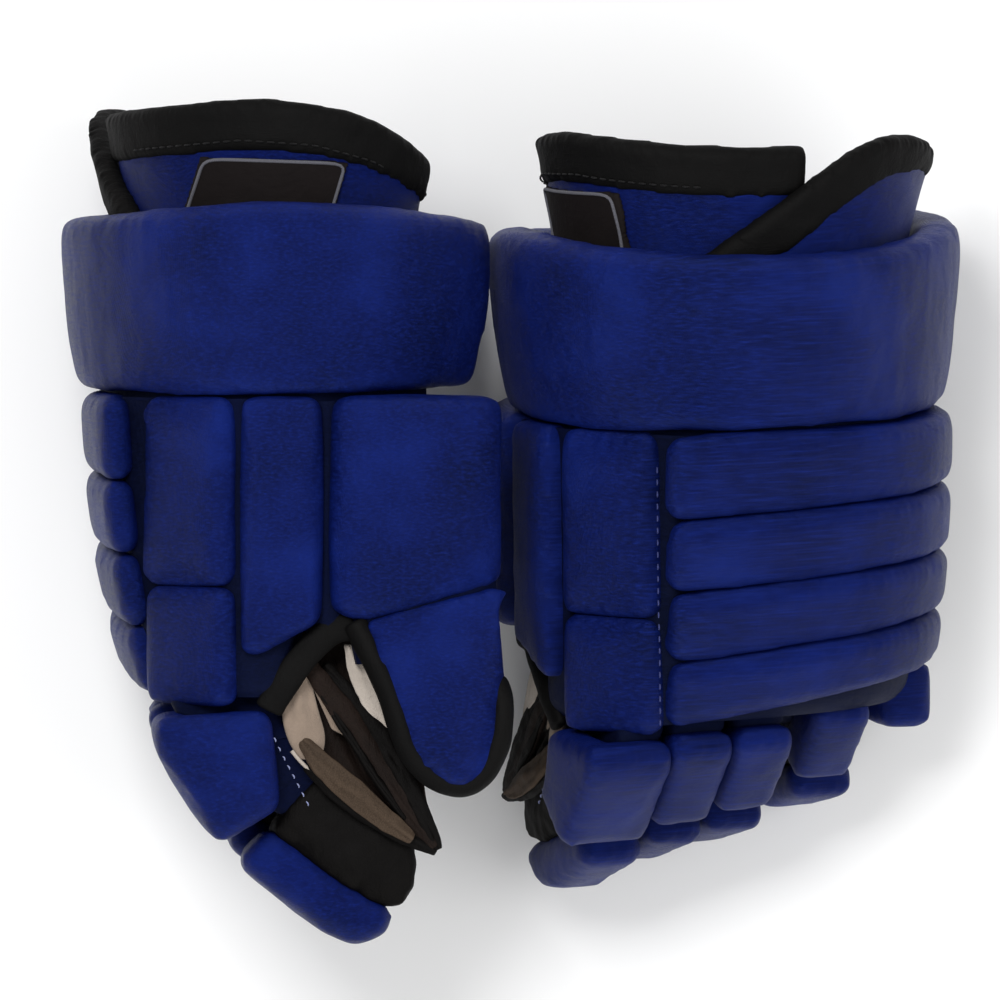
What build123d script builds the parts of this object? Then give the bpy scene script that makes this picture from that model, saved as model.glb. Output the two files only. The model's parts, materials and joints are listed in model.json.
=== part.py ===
from build123d import *
from collections import namedtuple
from math import sin, cos, tan, radians, hypot
from types import SimpleNamespace
import os

# A pair of senior ice-hockey gloves, four-roll pattern, right hand and left hand.
#
# Each glove is modelled as a right hand in its own glove frame, in millimetres:
#   X  towards the thumb side      Y  towards the cuff (the fingers point to -Y)
#   Z  out of the back of the hand
# "v" is the distance from the cuff joint towards the fingertips, so Y = -v.
# "near" means the lower v, "far" the higher; "high" and "low" x are the thumb side and
# the little-finger side. Side views are outlines of (v, z), sections are outlines of (x, z).
# The finished glove is mirrored for the left hand and laid on the floor, Z = 0.

os.makedirs("parts", exist_ok=True)

# ---------------------------------------------------------------- pose of each glove
# curl of each finger in degrees: knuckle, fingertip
CURL = {
    "right": {"index": (28, 24), "middle": (27, 27), "ring": (27, 29), "little": (27, 30)},
    "left": {"index": (37, 30), "middle": (37, 34), "ring": (37, 36), "little": (36, 38)},
}
THUMB_FOLD = {"right": 0.0, "left": 12.0}    # degrees, whole thumb towards the palm
THUMB_BEND = {"right": 0.0, "left": 74.0}    # degrees, thumb tip about its crease

# how each glove lies: rotation about its length, pitch, turn on the floor, position of its frame
LAY = {
    "right": dict(roll=-85.0, pitch=2.2, turn=0.0, at=(-97.35, 54.9, 92.0)),
    "left": dict(roll=22.0, pitch=8.0, turn=0.6, at=(92.65, 47.9, 80.8)),
}


# ---------------------------------------------------------------- helpers
def side_plane(x):
    """Plane of a side view (v, z) at x, facing the little-finger side."""
    return Plane(origin=(x, 0, 0), x_dir=(0, -1, 0), z_dir=(-1, 0, 0))


def prism(plane, points, depth):
    """A polygon on a plane, extruded."""
    with BuildPart() as block:
        with BuildSketch(plane):
            with BuildLine():
                Polyline(*points, close=True)
            make_face()
        extrude(amount=depth)
    return block.part


def across(points, x_high, x_low):
    """A block with a side view of (v, z), running from x_high to x_low."""
    return prism(side_plane(x_high), points, x_high - x_low)


def along(points, v_near, v_far):
    """A bar with a section of (x, z), running from v_near to v_far."""
    return prism(Plane.XZ.offset(v_near), points, v_far - v_near)


def trimmed_bar(section, v_near, v_far, side_view):
    """A bar on the thumb side of the hand, cut to a side view."""
    with BuildPart() as bar:
        add(along(section, v_near, v_far))
        add(across(side_view, 110, 50), mode=Mode.INTERSECT)
    return bar.part


def soften(part, radius):
    """Fillets every edge."""
    # the kernel can refuse a large radius on a small edge, so smaller ones are tried in turn
    for scale in (1.0, 0.8, 0.6, 0.45, 0.3):
        try:
            rounded = part.fillet(radius * scale, part.edges())
            if rounded.is_valid and rounded.volume > 0:
                return rounded
        except Exception:
            continue
    return part


def inset(outline, distance):
    """Corners of an anticlockwise outline, moved inwards."""
    moved = []
    for i, (bx, by) in enumerate(outline):
        ax, ay = outline[i - 1]
        cx, cy = outline[(i + 1) % len(outline)]
        length_in, length_out = hypot(bx - ax, by - ay), hypot(cx - bx, cy - by)
        normal_in = (-(by - ay) / length_in, (bx - ax) / length_in)
        normal_out = (-(cy - by) / length_out, (cx - bx) / length_out)
        dot = normal_in[0] * normal_out[0] + normal_in[1] * normal_out[1]
        k = distance / (1 + dot)
        moved.append((bx + (normal_in[0] + normal_out[0]) * k,
                      by + (normal_in[1] + normal_out[1]) * k))
    return moved


def tube(near, far, v_near, v_far, wall):
    """A tube between two sections with the same number of corners."""
    with BuildPart() as hollow:
        for inward, mode in ((0, Mode.ADD), (wall, Mode.SUBTRACT)):
            for outline, v in ((near, v_near), (far, v_far)):
                with BuildSketch(Plane.XZ.offset(v)):
                    with BuildLine():
                        Polyline(*inset(outline, inward), close=True)
                    make_face()
            loft(ruled=True, mode=mode)
    return hollow.part


# ---------------------------------------------------------------- back rolls
ROLL_FOAM = 20.0
ROLL_END = 9.0            # thickness of a roll where it ends against the index column
ROLL_GAP = 0.9            # half gap between neighbouring rolls
ROLL_RADIUS = 5.5

# v at the thumb side (near, far), v at the little-finger side, z near, z far, thumb-side end x
ROLLS = [
    ((0.4, 35.5), (0.4, 30.0), 82.0, 80.0, 60.0),
    ((35.5, 66.0), (30.0, 58.0), 80.5, 76.5, 59.0),
    ((66.0, 96.0), (58.0, 83.0), 77.0, 70.5, 57.0),
    ((96.0, 124.5), (83.0, 105.0), 71.0, 62.5, 55.0),
]
# section of a roll from mid-hand round the little-finger side: (x, height from the roll's top)
BACK_OUT = [(0, 0), (-30, -2.5), (-56, -11.5), (-75, -28), (-84, -46), (-87, -62)]
BACK_IN = [(0, -20), (-28, -22), (-48, -29), (-60, -40), (-66, -52), (-68, -61)]


def roll_edge(v_thumb, v_little, shift):
    """Plan view (x, y) of one long edge of a roll, from the thumb side, moved by shift in v."""
    slant = v_little - v_thumb
    stations = [(100, v_thumb - slant * 0.33), (-40, v_thumb + slant * 0.66), (-100, v_little)]
    return [(x, -(v + shift)) for x, v in stations]


def back_roll(v_thumb, v_little, z_near, z_far, x_end):
    """One foam roll across the back of the hand, bent over the little-finger side."""
    tilt = (z_near - z_far) / (v_thumb[1] - v_thumb[0])
    length = hypot(1, tilt)
    face = Plane(
        origin=(0, -(v_thumb[0] + v_thumb[1]) / 2, (z_near + z_far) / 2),
        x_dir=(1, 0, 0),
        z_dir=(0, -1 / length, -tilt / length),
    )
    end_drop = 0.0016 * x_end**2
    halfway_drop = 0.0011 * (x_end / 2) ** 2
    outer = [(x_end, -end_drop), (x_end * 0.5, -halfway_drop)] + BACK_OUT
    inner = [(x_end, -end_drop - ROLL_END), (x_end * 0.62, -halfway_drop - ROLL_FOAM + 2.5)]
    inner += BACK_IN
    near = roll_edge(v_thumb[0], v_little[0], ROLL_GAP)
    far = roll_edge(v_thumb[1], v_little[1], -ROLL_GAP)
    plan = [near[0], *far, near[2], near[1]]
    with BuildPart() as roll:
        with BuildSketch(face):
            with BuildLine():
                Spline(*outer)
                Line(outer[-1], inner[-1])
                Spline(*inner[::-1])
                Line(inner[0], outer[0])
            make_face()
        extrude(amount=36, both=True)
        add(prism(Plane.XY.offset(-40), plan, 160), mode=Mode.INTERSECT)
    return soften(roll.part, ROLL_RADIUS)


# ---------------------------------------------------------------- hand
SHELL = 2.6               # hand shell wall
LINER = 1.4
LINER_GAP = 0.5
LINER_V = (2.5, 112.0)
PALM = 2.4
PALM_GAP = 0.6            # between the hand shell and the palm sheet

SHELL_V = (1.5, 121.0)
# sections (x, z) of the shell at its near and far ends, the palm-side thumb corner first
SHELL_NEAR = [
    (62, -16), (72, -9), (74.5, 16), (48, 47.5), (44, 56), (0, 59.5),
    (-38, 55), (-55, 44), (-64, 26), (-65, -4), (-56, -16),
]
SHELL_FAR = [
    (58, -2), (66, 1), (71.5, 12), (46, 36), (42, 38.5), (0, 40),
    (-36, 36), (-50, 28), (-59, 16), (-61, 4), (-52, -2),
]
# outline (x, -v) of the palm, v measured along the sheet
PALM_OUTLINE = [
    (62, 0.5), (66.5, -30), (64, -90), (54, -117),
    (-48, -113), (-56, -90), (-57, -30), (-52, 0.5),
]


def shell_outline(v):
    """Section of the hand shell at v."""
    t = (v - SHELL_V[0]) / (SHELL_V[1] - SHELL_V[0])
    return [(a[0] + (b[0] - a[0]) * t, a[1] + (b[1] - a[1]) * t)
            for a, b in zip(SHELL_NEAR, SHELL_FAR)]


def hand_shell():
    """Cloth hand under the pads, cut back behind the shorter little finger."""
    with BuildPart() as shell:
        add(tube(SHELL_NEAR, SHELL_FAR, *SHELL_V, SHELL))
        with BuildSketch(Plane.XY.offset(-40)):
            with Locations((-54, -130.5)):
                Rectangle(80, 31)
        extrude(amount=120, mode=Mode.SUBTRACT)
    return shell.part


def liner():
    """Thin tube just inside the hand shell."""
    near, far = (inset(shell_outline(v), SHELL + LINER_GAP) for v in LINER_V)
    return tube(near, far, *LINER_V, LINER)


def palm_sheet():
    """Leather palm under the hand shell, from the heel of the hand to the finger roots."""
    z_near, z_far = SHELL_NEAR[0][1], SHELL_FAR[0][1]
    slope = (z_far - z_near) / (SHELL_V[1] - SHELL_V[0])
    length = hypot(1, slope)
    sheet = Plane(
        origin=(0, -SHELL_V[0], z_near - PALM_GAP),
        x_dir=(1, 0, 0),
        z_dir=(0, slope / length, 1 / length),
    )
    return prism(sheet, PALM_OUTLINE, -PALM)


# ---------------------------------------------------------------- pads at the sides of the hand
SIDE_RADIUS = 4.5
LITTLE_SIDE_RADIUS = 4.0
SIDE_PAD_V = 1.5          # near end of the pads on the thumb side
INDEX_JOINT_V = (77.0, 79.0)   # gap between the two pads of the index column
INDEX_COLUMN_END = 126.0
WEB_END = 105.5
INDEX_COLUMN = [(62, 61), (91.5, 26), (79.5, 22), (53, 49.5)]        # (x, z)
WEB = [(93.5, 20.5), (96.5, -10), (81, -12.5), (79, 17)]             # (x, z)
WEB_SIDE = [(0, 40), (105, 40), (105, 14), (90, -14), (88, -40), (0, -40)]   # (v, z)
LITTLE_SIDE = [(-86, 30), (-89, 8), (-77, 4), (-70, 10), (-72, 26)]  # (x, z)


def side_pads():
    """The two pads of the index column and the long pad beside the thumb."""
    far_section = [(x - 0.5, z - 0.5) for x, z in INDEX_COLUMN]
    pads = [
        along(INDEX_COLUMN, SIDE_PAD_V, INDEX_JOINT_V[0]),
        along(far_section, INDEX_JOINT_V[1], INDEX_COLUMN_END),
        trimmed_bar(WEB, SIDE_PAD_V, WEB_END, WEB_SIDE),
    ]
    return [soften(pad, SIDE_RADIUS) for pad in pads]


def little_side_pad():
    """Small pad on the little-finger side, at the root of the little finger."""
    return soften(along(LITTLE_SIDE, 109.5, 132.5), LITTLE_SIDE_RADIUS)


# ---------------------------------------------------------------- cuff
CUFF_CX = 3.0             # centre of the oval cuff, towards the thumb side
CUFF_END = (99.0, 90.0)   # half width, half depth of the cuff roll at its open end
CUFF_MID = (97.5, 88.5)
CUFF_HAND = (91.0, 83.0)  # and where it meets the hand
CUFF_LEN = 80.0
CUFF_FOAM = 17.0
CUFF_RADIUS = 6.0
CUFF_OPENING = 56.0       # width of the gap on the palm side
# side views (v, z) of the two edges of the cuff roll
CUFF_OPEN_EDGE = [(-66, -100), (-75, -50), (-79, 0), (-76, 50), (-69, 100)]
CUFF_HAND_EDGE = [(-2.0, 100), (-0.7, 40), (-0.5, 0), (-0.9, -40), (-3.0, -100)]

FLAP_FOAM = 6.4
BINDING = 14.0            # width of the tape on a flap edge
BINDING_OVERLAP = 0.4
FLARE_END = 121.0         # distance of the flap rings' open end from the cuff joint
FLAP_ROOT_V = -5          # where the flaps start inside the cuff roll
# rings the flaps are cut from: (v, half width, half depth)
THUMB_SIDE_RING = [(-2.0, 64.2, 56.2), (-80.0, 71.6, 63.4), (-FLARE_END, 79.5, 73.5)]
LITTLE_SIDE_RING = [(-2.0, 72.6, 64.6), (-80.0, 80.4, 71.8), (-FLARE_END, 94.0, 84.5)]
# open edge of the thumb-side flap: (v, z)
THUMB_SIDE_EDGE = [
    (-112, 92), (-116, 50), (-118.5, 20), (-116.5, -10), (-110, -35),
    (-99, -54), (-82, -70), (-60, -82),
]
# open edge of the little-side flap: (x, v)
LITTLE_SIDE_EDGE = [
    (58, -44), (37, -70), (6, -93), (-14, -107), (-36, -116),
    (-60, -114), (-78, -104), (-90, -88), (-104, -74),
]
# and where it wraps round to the palm, seen from the side: (v, z)
PALM_WRAP_EDGE = [(-84, -39), (-78, -56), (-64, -74), (-46, -90)]
SIDE_WRAP_EDGE = [(-84, -39), (-87, 0), (-90, 12)]
WRAP_X = (-32, -122)

LABEL_PROUD = 1.4         # outside of the label above the flap
LABEL_THICKNESS = 1.1
LABEL = [(-96.5, 35.5), (-94.5, -24), (-68, -16), (-68, 44)]   # (v, z)


def ring(sections, wall):
    """A tapering oval tube: sections are (v, half width, half depth) of its outside."""
    with BuildPart() as oval:
        for inward, mode in ((0, Mode.ADD), (wall, Mode.SUBTRACT)):
            for v, half_width, half_depth in sections:
                with BuildSketch(Plane.XZ.offset(v)):
                    with Locations((CUFF_CX, 0)):
                        Ellipse(half_width - inward, half_depth - inward)
            loft(mode=mode)
    return oval.part


def cuff_roll():
    """Wide foam band round the wrist, open for a hand's breadth on the palm side."""
    sections = [(0.0, *CUFF_HAND), (-CUFF_LEN * 0.55, *CUFF_MID), (-CUFF_LEN, *CUFF_END)]
    with BuildPart() as roll:
        add(ring(sections, CUFF_FOAM))
        with BuildSketch(side_plane(130)):
            with BuildLine():
                Spline(*CUFF_OPEN_EDGE)
                Line(CUFF_OPEN_EDGE[-1], CUFF_HAND_EDGE[0])
                Spline(*CUFF_HAND_EDGE)
                Line(CUFF_HAND_EDGE[-1], CUFF_OPEN_EDGE[0])
            make_face()
        extrude(amount=260, mode=Mode.INTERSECT)
        with BuildSketch(Plane.XZ.offset(-100)):
            with Locations((0, -80)):
                Rectangle(CUFF_OPENING, 70)
        extrude(amount=120, mode=Mode.SUBTRACT)
    return soften(roll.part, CUFF_RADIUS)


def shifted(points, distance):
    """Side-view points moved along v."""
    return [(v + distance, z) for v, z in points]


def thumb_side_region(inward):
    """The space of the thumb-side flap, its open edge moved inwards."""
    points = shifted(THUMB_SIDE_EDGE, inward)
    with BuildPart() as region:
        with BuildSketch(side_plane(130)):
            with BuildLine():
                Spline(*points)
                Polyline(
                    points[-1], (FLAP_ROOT_V, points[-1][1]),
                    (FLAP_ROOT_V, points[0][1]), points[0],
                )
            make_face()
        extrude(amount=132)
        # leave the palm side open
        with BuildSketch(Plane.XZ.offset(-140)):
            with Locations((-50, -60)):
                Rectangle(164, 80)
        extrude(amount=150, mode=Mode.SUBTRACT)
    return region.part


def little_side_region(inward):
    """The space of the little-side flap, its open edge moved inwards."""
    points = [(x - inward * 0.55, -(v + inward)) for x, v in LITTLE_SIDE_EDGE]
    palm_wrap = shifted(PALM_WRAP_EDGE, inward) + [(FLAP_ROOT_V, -90), (FLAP_ROOT_V, -39)]
    beyond = shifted(SIDE_WRAP_EDGE, inward) + [(-140, 12), (-140, -41), (-84 + inward, -41)]
    with BuildPart() as region:
        with BuildSketch(Plane.XY.offset(-40)):
            with BuildLine():
                Spline(*points)
                Polyline(
                    points[-1], (points[-1][0], -FLAP_ROOT_V),
                    (points[0][0], -FLAP_ROOT_V), points[0],
                )
            make_face()
        extrude(amount=140)
        add(across(palm_wrap, *WRAP_X))
        add(across(beyond, *WRAP_X), mode=Mode.SUBTRACT)
    return region.part


def flap(sections, region):
    """Panel of a flap inside its binding."""
    sheet = ring(sections, FLAP_FOAM)
    inside = region(BINDING)
    with BuildPart() as panel:
        add(sheet)
        add(inside, mode=Mode.INTERSECT)
    return panel.part


def flap_binding(sections, region):
    """Tape along the open edge of a flap."""
    sheet = ring(sections, FLAP_FOAM)
    outside, inside = region(0.0), region(BINDING - BINDING_OVERLAP)
    with BuildPart() as tape:
        add(sheet)
        add(outside, mode=Mode.INTERSECT)
        add(inside, mode=Mode.SUBTRACT)
    # only the tape itself, without loose slivers
    return tape.part.solids().sort_by(SortBy.VOLUME)[-1]


def label_patch():
    """Blank label on the outside of the thumb-side flap."""
    sections = [(v, a + LABEL_PROUD, b + LABEL_PROUD) for v, a, b in THUMB_SIDE_RING]
    with BuildPart() as label:
        add(ring(sections, LABEL_THICKNESS))
        add(across(LABEL, 130, 30), mode=Mode.INTERSECT)
    return label.part


# ---------------------------------------------------------------- thumb
THUMB_HINGE = (73.0, -19.0)   # (x, z) of the fold between thumb and palm
CREASE_X = 74.0               # on the palm side of the thumb
THUMB_CREASE = ((91.0, -30.0), (76.5, -88.0))   # (v, z) of the fold across the thumb
THUMB_RADIUS = 5.0

# sections are (x, z), side views are (v, z)
BASE_SECTION = [
    (96, -17.5), (97, -40), (94, -64), (86, -81), (77, -86.5),
    (70, -81), (68, -58), (70, -36), (74, -18),
]
BASE_SIDE = [(0, 0), (84, 0), (90.0, -29.0), (75.8, -88), (75, -100), (0, -100)]
TIP_SECTION = [
    (95, -20), (95, -64), (90, -84), (83, -91), (77, -88), (75, -62), (75, -34), (77, -20),
]
TIP_SIDE = [
    (107, -34), (126, -40), (144, -48), (156, -58), (160, -69), (155, -79),
    (145, -85.5), (128, -87.5), (110, -86), (86, -84), (78, -89), (92.2, -31),
]
TAPE_SECTION = [(85, -20), (85, -100), (77, -100), (77, -20)]
TAPE_SIDE = [
    # outer edge
    (93, -29.5), (109, -30.6), (128, -36.3), (147, -44.3), (161.5, -55), (166, -69),
    (160.5, -82.5), (147.5, -90.5), (128, -92),
    # inner edge, back again
    (128, -88.2), (145.5, -86.2), (155.6, -79.5), (160.6, -69), (156.5, -57.5),
    (144.3, -47.3), (126.3, -39.3), (107.3, -33.3), (93, -30.9),
]


def thumb_base_guard():
    return soften(trimmed_bar(BASE_SECTION, 2.0, 102.0, BASE_SIDE), THUMB_RADIUS)


def thumb_tip_guard():
    return soften(trimmed_bar(TIP_SECTION, 60, 180, TIP_SIDE), THUMB_RADIUS)


def thumb_binding():
    """Tape round the edge of the thumb tip."""
    return trimmed_bar(TAPE_SECTION, 60, 190, TAPE_SIDE)


def fold_thumb(shape, side):
    """Swings a thumb piece towards the palm."""
    x, z = THUMB_HINGE
    return shape.rotate(Axis((x, 0, z), (0, 1, 0)), THUMB_FOLD[side])


def bend_thumb(shape, side):
    """Bends a thumb-tip piece about the crease."""
    (v0, z0), (v1, z1) = THUMB_CREASE
    crease = Axis((CREASE_X, -v0, z0), (0, v0 - v1, z1 - z0))
    return shape.rotate(crease, THUMB_BEND[side])


# ---------------------------------------------------------------- fingers
# tip_shift moves the two sides of the fingertip against its pad
Finger = namedtuple(
    "Finger", "x_high x_low knuckle_v back_z length depth scale tip_shift tip_radius"
)
FINGERS = {
    "index": Finger(73.0, 51.0, 127.8, 57.0, 58.0, 27.0, 1.0, (-0.8, -5.8), 6.0),
    "middle": Finger(49.6, 23.0, 125.6, 57.5, 53.0, 23.0, 0.92, (-6.4, -4.0), 5.5),
    "ring": Finger(20.6, -5.0, 125.2, 56.0, 49.0, 23.0, 0.86, (-3.6, -4.4), 5.5),
    "little": Finger(-17.5, -43.0, 118.0, 50.0, 45.0, 21.0, 0.80, (-7.0, -8.0), 5.5),
}
FINGER_DEPTH = 54.0       # back to palm side, for a finger of scale 1
PALM_Z = 3.0              # palm side of the fingers at the knuckles
KNUCKLE_GAP = 0.8
KNUCKLE_SLOPE = tan(radians(3.5))      # room to straighten each knuckle
TIP_WEDGE = 10.0          # degrees between gusset and fingertip
PAD_RADIUS = 5.0
GUSSET = 1.8              # finger gusset wall
CUP_WALL = 2.2
CUP_INSET = 0.6           # tip cup inside the sides of its pad
INDEX_SIDE_X = (89.0, 73.8)    # the part of the index pad on the thumb side
INDEX_BACK_HIGH = 82.0         # and the thumb side of the part on the back
INDEX_BACK_Z = 42.0            # its lowest corner at the knuckle


def sloping(origin, angle):
    """Function for points (v, z) from an origin, along a line falling by angle and above it."""
    c, s = cos(radians(angle)), sin(radians(angle))

    def at(run, rise):
        return (origin[0] + run * c + rise * s, origin[1] - run * s + rise * c)

    return at


def finger_layout(finger, curl):
    """Side-view outlines (v, z) of one finger's pieces."""
    knuckle_curl, tip_curl = curl
    length, depth, scale = finger.length, finger.depth, finger.scale
    under = FINGER_DEPTH * (0.86 + 0.14 * scale) - depth     # depth below the pad
    set_back = under * tan(radians(TIP_WEDGE / 2))
    slope = tan(radians(knuckle_curl))

    def knuckle(z):
        return finger.knuckle_v + KNUCKLE_GAP + (z - PALM_Z) * KNUCKLE_SLOPE

    start = (knuckle(finger.back_z), finger.back_z)
    on_pad = sloping(start, knuckle_curl)
    joint = on_pad(length, -depth)       # where pad, tip pad and cup meet
    on_tip = sloping(joint, knuckle_curl + tip_curl)
    # the fold line halves the angle between finger and tip
    fold = sloping(joint, knuckle_curl + tip_curl / 2)(0, -under)
    fold_run = under * sin(radians(tip_curl / 2))
    fold_rise = -under * cos(radians(tip_curl / 2))

    # pad: back edge with a soft shoulder, end square to the finger
    low = on_pad(length - 1.2, -depth)
    v_low = knuckle(finger.back_z - depth - 2)
    pad = [
        start, on_pad(10, 1.6), on_pad(length, 0), low,
        (v_low, low[1] - (v_low - low[0]) * slope),
    ]

    # gusset under the pad, its far face set back from the fold by half of the wedge
    far_top = on_pad(length - 1.4 - set_back, -depth - 0.7)
    far_low = sloping(fold, knuckle_curl)(-0.35, 0.0)
    v_top = knuckle(finger.back_z - depth - 3)
    near_top = (v_top, far_top[1] - (v_top - far_top[0]) * slope)
    v_near = finger.knuckle_v + KNUCKLE_GAP
    if far_low[0] < finger.knuckle_v + 6:
        # tightly curled: the fold comes back to the knuckle
        near_low = (v_near, min(PALM_Z, far_low[1] + 4))
        far_low = (max(far_low[0], finger.knuckle_v + 1.6), far_low[1])
    else:
        near_low = (v_near, PALM_Z + 0.05)

    # fingertip: run scales with the finger, rise with the pad depth of the index finger
    rise = depth / FINGERS["index"].depth
    tip_pad = [
        on_tip(1.2, depth), on_tip(48 * scale, depth), on_tip(60 * scale, 23.5 * rise),
        on_tip(67 * scale, 13.5 * rise), on_tip(66 * scale, 2.5 * rise),
        on_tip(53 * scale, 6.5 * rise), on_tip(33 * scale, 8 * rise),
        on_tip(1.0 + set_back, 8 * rise),
    ]
    cup = [
        on_tip(1.6 + set_back, 7.2 * rise), on_tip(33 * scale, 7.2 * rise),
        on_tip(53 * scale, 5.7 * rise), on_tip(65 * scale, 1.4 * rise),
        on_tip(64.5 * scale, -9 * rise), on_tip(60 * scale, fold_rise * 0.66),
        on_tip(52 * scale, fold_rise), on_tip(fold_run + 0.4, fold_rise),
    ]
    cavity = [
        on_tip(-12, 4.6 * rise), on_tip(33 * scale, 4.6 * rise), on_tip(52 * scale, 3 * rise),
        on_tip(60 * scale, -6 * rise), on_tip(52 * scale, fold_rise + 6),
        on_tip(fold_run + 3, fold_rise + 2.2), on_tip(fold_run - 14, fold_rise + 2.2),
    ]
    return SimpleNamespace(
        start=start, on_pad=on_pad, pad=pad, gusset=[near_top, far_top, far_low, near_low],
        tip_pad=tip_pad, cup=cup, cavity=cavity,
    )


def index_pad(finger, layout):
    """The index pad wraps the thumb side of the finger as well as its back."""
    start, on_pad, length = layout.start, layout.on_pad, finger.length
    top = [start, on_pad(14, 3.5), on_pad(length, 0)]
    beside = top + [on_pad(length - 1.5, -finger.depth - 2), (start[0] - 2.4, 9.0)]
    v_low = start[0] - (start[1] - INDEX_BACK_Z) * KNUCKLE_SLOPE
    over = top + [
        on_pad(length - 0.8, -14.6), on_pad(length - 5.5, -15.2), on_pad(20, -12.2),
        (v_low, INDEX_BACK_Z),
    ]
    with BuildPart() as pad:
        add(soften(across(beside, *INDEX_SIDE_X), PAD_RADIUS))
        add(soften(across(over, INDEX_BACK_HIGH, finger.x_low - 0.2), PAD_RADIUS))
    return pad.part


def gusset_sleeve(outline, x_high, x_low):
    """A short square sleeve, open to the hand and to the fingertip."""
    near_top = outline[0]
    far_top, far_low, near_low = outline[-3:]
    run_v, run_z = far_top[0] - near_top[0], far_top[1] - near_top[1]
    length = hypot(run_v, run_z)
    run_v, run_z = run_v / length, run_z / length
    drop = GUSSET + 0.6
    tops = [(v - GUSSET * 0.2, z - drop) for v, z in outline[:-2]]
    # the hollow runs past both mouths
    hollow = [
        (near_top[0] - 6, near_top[1] - drop),
        *tops,
        (tops[-1][0] + 9 * run_v, tops[-1][1] + 9 * run_z),
        (far_low[0] + 8 * run_v, far_low[1] + 8 * run_z + GUSSET + 0.8),
        (far_low[0] + 0.8, far_low[1] + GUSSET + 0.9),
        (near_low[0], near_low[1] + drop),
        (near_low[0] - 6, near_low[1] + drop),
    ]
    with BuildPart() as sleeve:
        add(across(outline, x_high, x_low))
        add(across(hollow, x_high - GUSSET, x_low + GUSSET), mode=Mode.SUBTRACT)
    return sleeve.part


def tip_cup(layout, x_high, x_low):
    """A leather fingertip, closed at its end and open towards the hand."""
    with BuildPart() as cup:
        add(across(layout.cup, x_high, x_low))
        add(across(layout.cavity, x_high - CUP_WALL, x_low + CUP_WALL), mode=Mode.SUBTRACT)
    return cup.part


def finger_pieces(name, curl):
    """The four pieces of one finger, by the ending of their names."""
    finger = FINGERS[name]
    layout = finger_layout(finger, curl)
    x_high, x_low = finger.x_high, finger.x_low
    if name == "index":
        pad = index_pad(finger, layout)
        on_pad = layout.on_pad
        top = [(layout.start[0] - 1.6, 40.0), on_pad(20, -13), on_pad(finger.length - 5.5, -16)]
        gusset = gusset_sleeve(top + layout.gusset[1:], x_high, x_low)
    else:
        pad = soften(across(layout.pad, x_high, x_low), PAD_RADIUS)
        gusset = gusset_sleeve(layout.gusset, x_high - 0.5, x_low + 0.5)
    tip_high, tip_low = x_high + finger.tip_shift[0], x_low + finger.tip_shift[1]
    return {
        "_pad": pad,
        "_gusset": gusset,
        "_tip_pad": soften(across(layout.tip_pad, tip_high, tip_low), finger.tip_radius),
        "_tip_cup": tip_cup(layout, tip_high - CUP_INSET, tip_low + CUP_INSET),
    }


# ---------------------------------------------------------------- put a glove together
def placement(side):
    """Location that lays a glove on the floor."""
    lay = LAY[side]
    return (
        Location(lay["at"])
        * Location((0, 0, 0), (0, 0, 1), lay["turn"])
        * Location((0, 0, 0), (1, 0, 0), lay["pitch"])
        * Location((0, 0, 0), (0, 1, 0), lay["roll"])
    )


def build_glove(side):
    """Shapes of each piece in the glove frame, by piece name."""
    thumb_flap = (THUMB_SIDE_RING, thumb_side_region)
    little_flap = (LITTLE_SIDE_RING, little_side_region)
    pieces = {
        "hand_shell": [hand_shell()],
        "palm": [palm_sheet()],
        "liner": [liner()],
        "back_rolls": [back_roll(*row) for row in ROLLS],
        "side_pads": side_pads(),
        "little_side_pad": [little_side_pad()],
        "cuff_roll": [cuff_roll()],
        "thumb_side_flap": [flap(*thumb_flap)],
        "little_side_flap": [flap(*little_flap)],
        "flap_bindings": [flap_binding(*thumb_flap), flap_binding(*little_flap)],
        "label_patch": [label_patch()],
        "thumb_base_guard": [fold_thumb(thumb_base_guard(), side)],
        "thumb_tip_guard": [fold_thumb(bend_thumb(thumb_tip_guard(), side), side)],
        "thumb_binding": [fold_thumb(bend_thumb(thumb_binding(), side), side)],
    }
    for name in FINGERS:
        for ending, shape in finger_pieces(name, CURL[side][name]).items():
            pieces[name + ending] = [shape]
    return pieces


# pieces the gloves rest on, pressed flat at the floor
RESTING = ("cuff_roll", "little_side_pad", "little_tip_cup")


def export_piece(side, name, shapes):
    """Mirrors a piece if needed, lays it in place and writes its file."""
    solids = [solid for shape in shapes for solid in shape.solids()]
    if side == "left":
        solids = [solid.mirror(Plane.YZ) for solid in solids]
    place = placement(side)
    with BuildPart() as piece:
        add([solid.moved(place) for solid in solids])
        if name in RESTING:
            with BuildSketch(Plane.XY.offset(-30)):
                Rectangle(900, 900)
            extrude(amount=30, mode=Mode.SUBTRACT)
    piece.part.label = side + "_" + name
    export_step(piece.part, "parts/" + side + "_" + name + ".step")


for side in ("right", "left"):
    for name, shapes in build_glove(side).items():
        export_piece(side, name, shapes)
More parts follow.
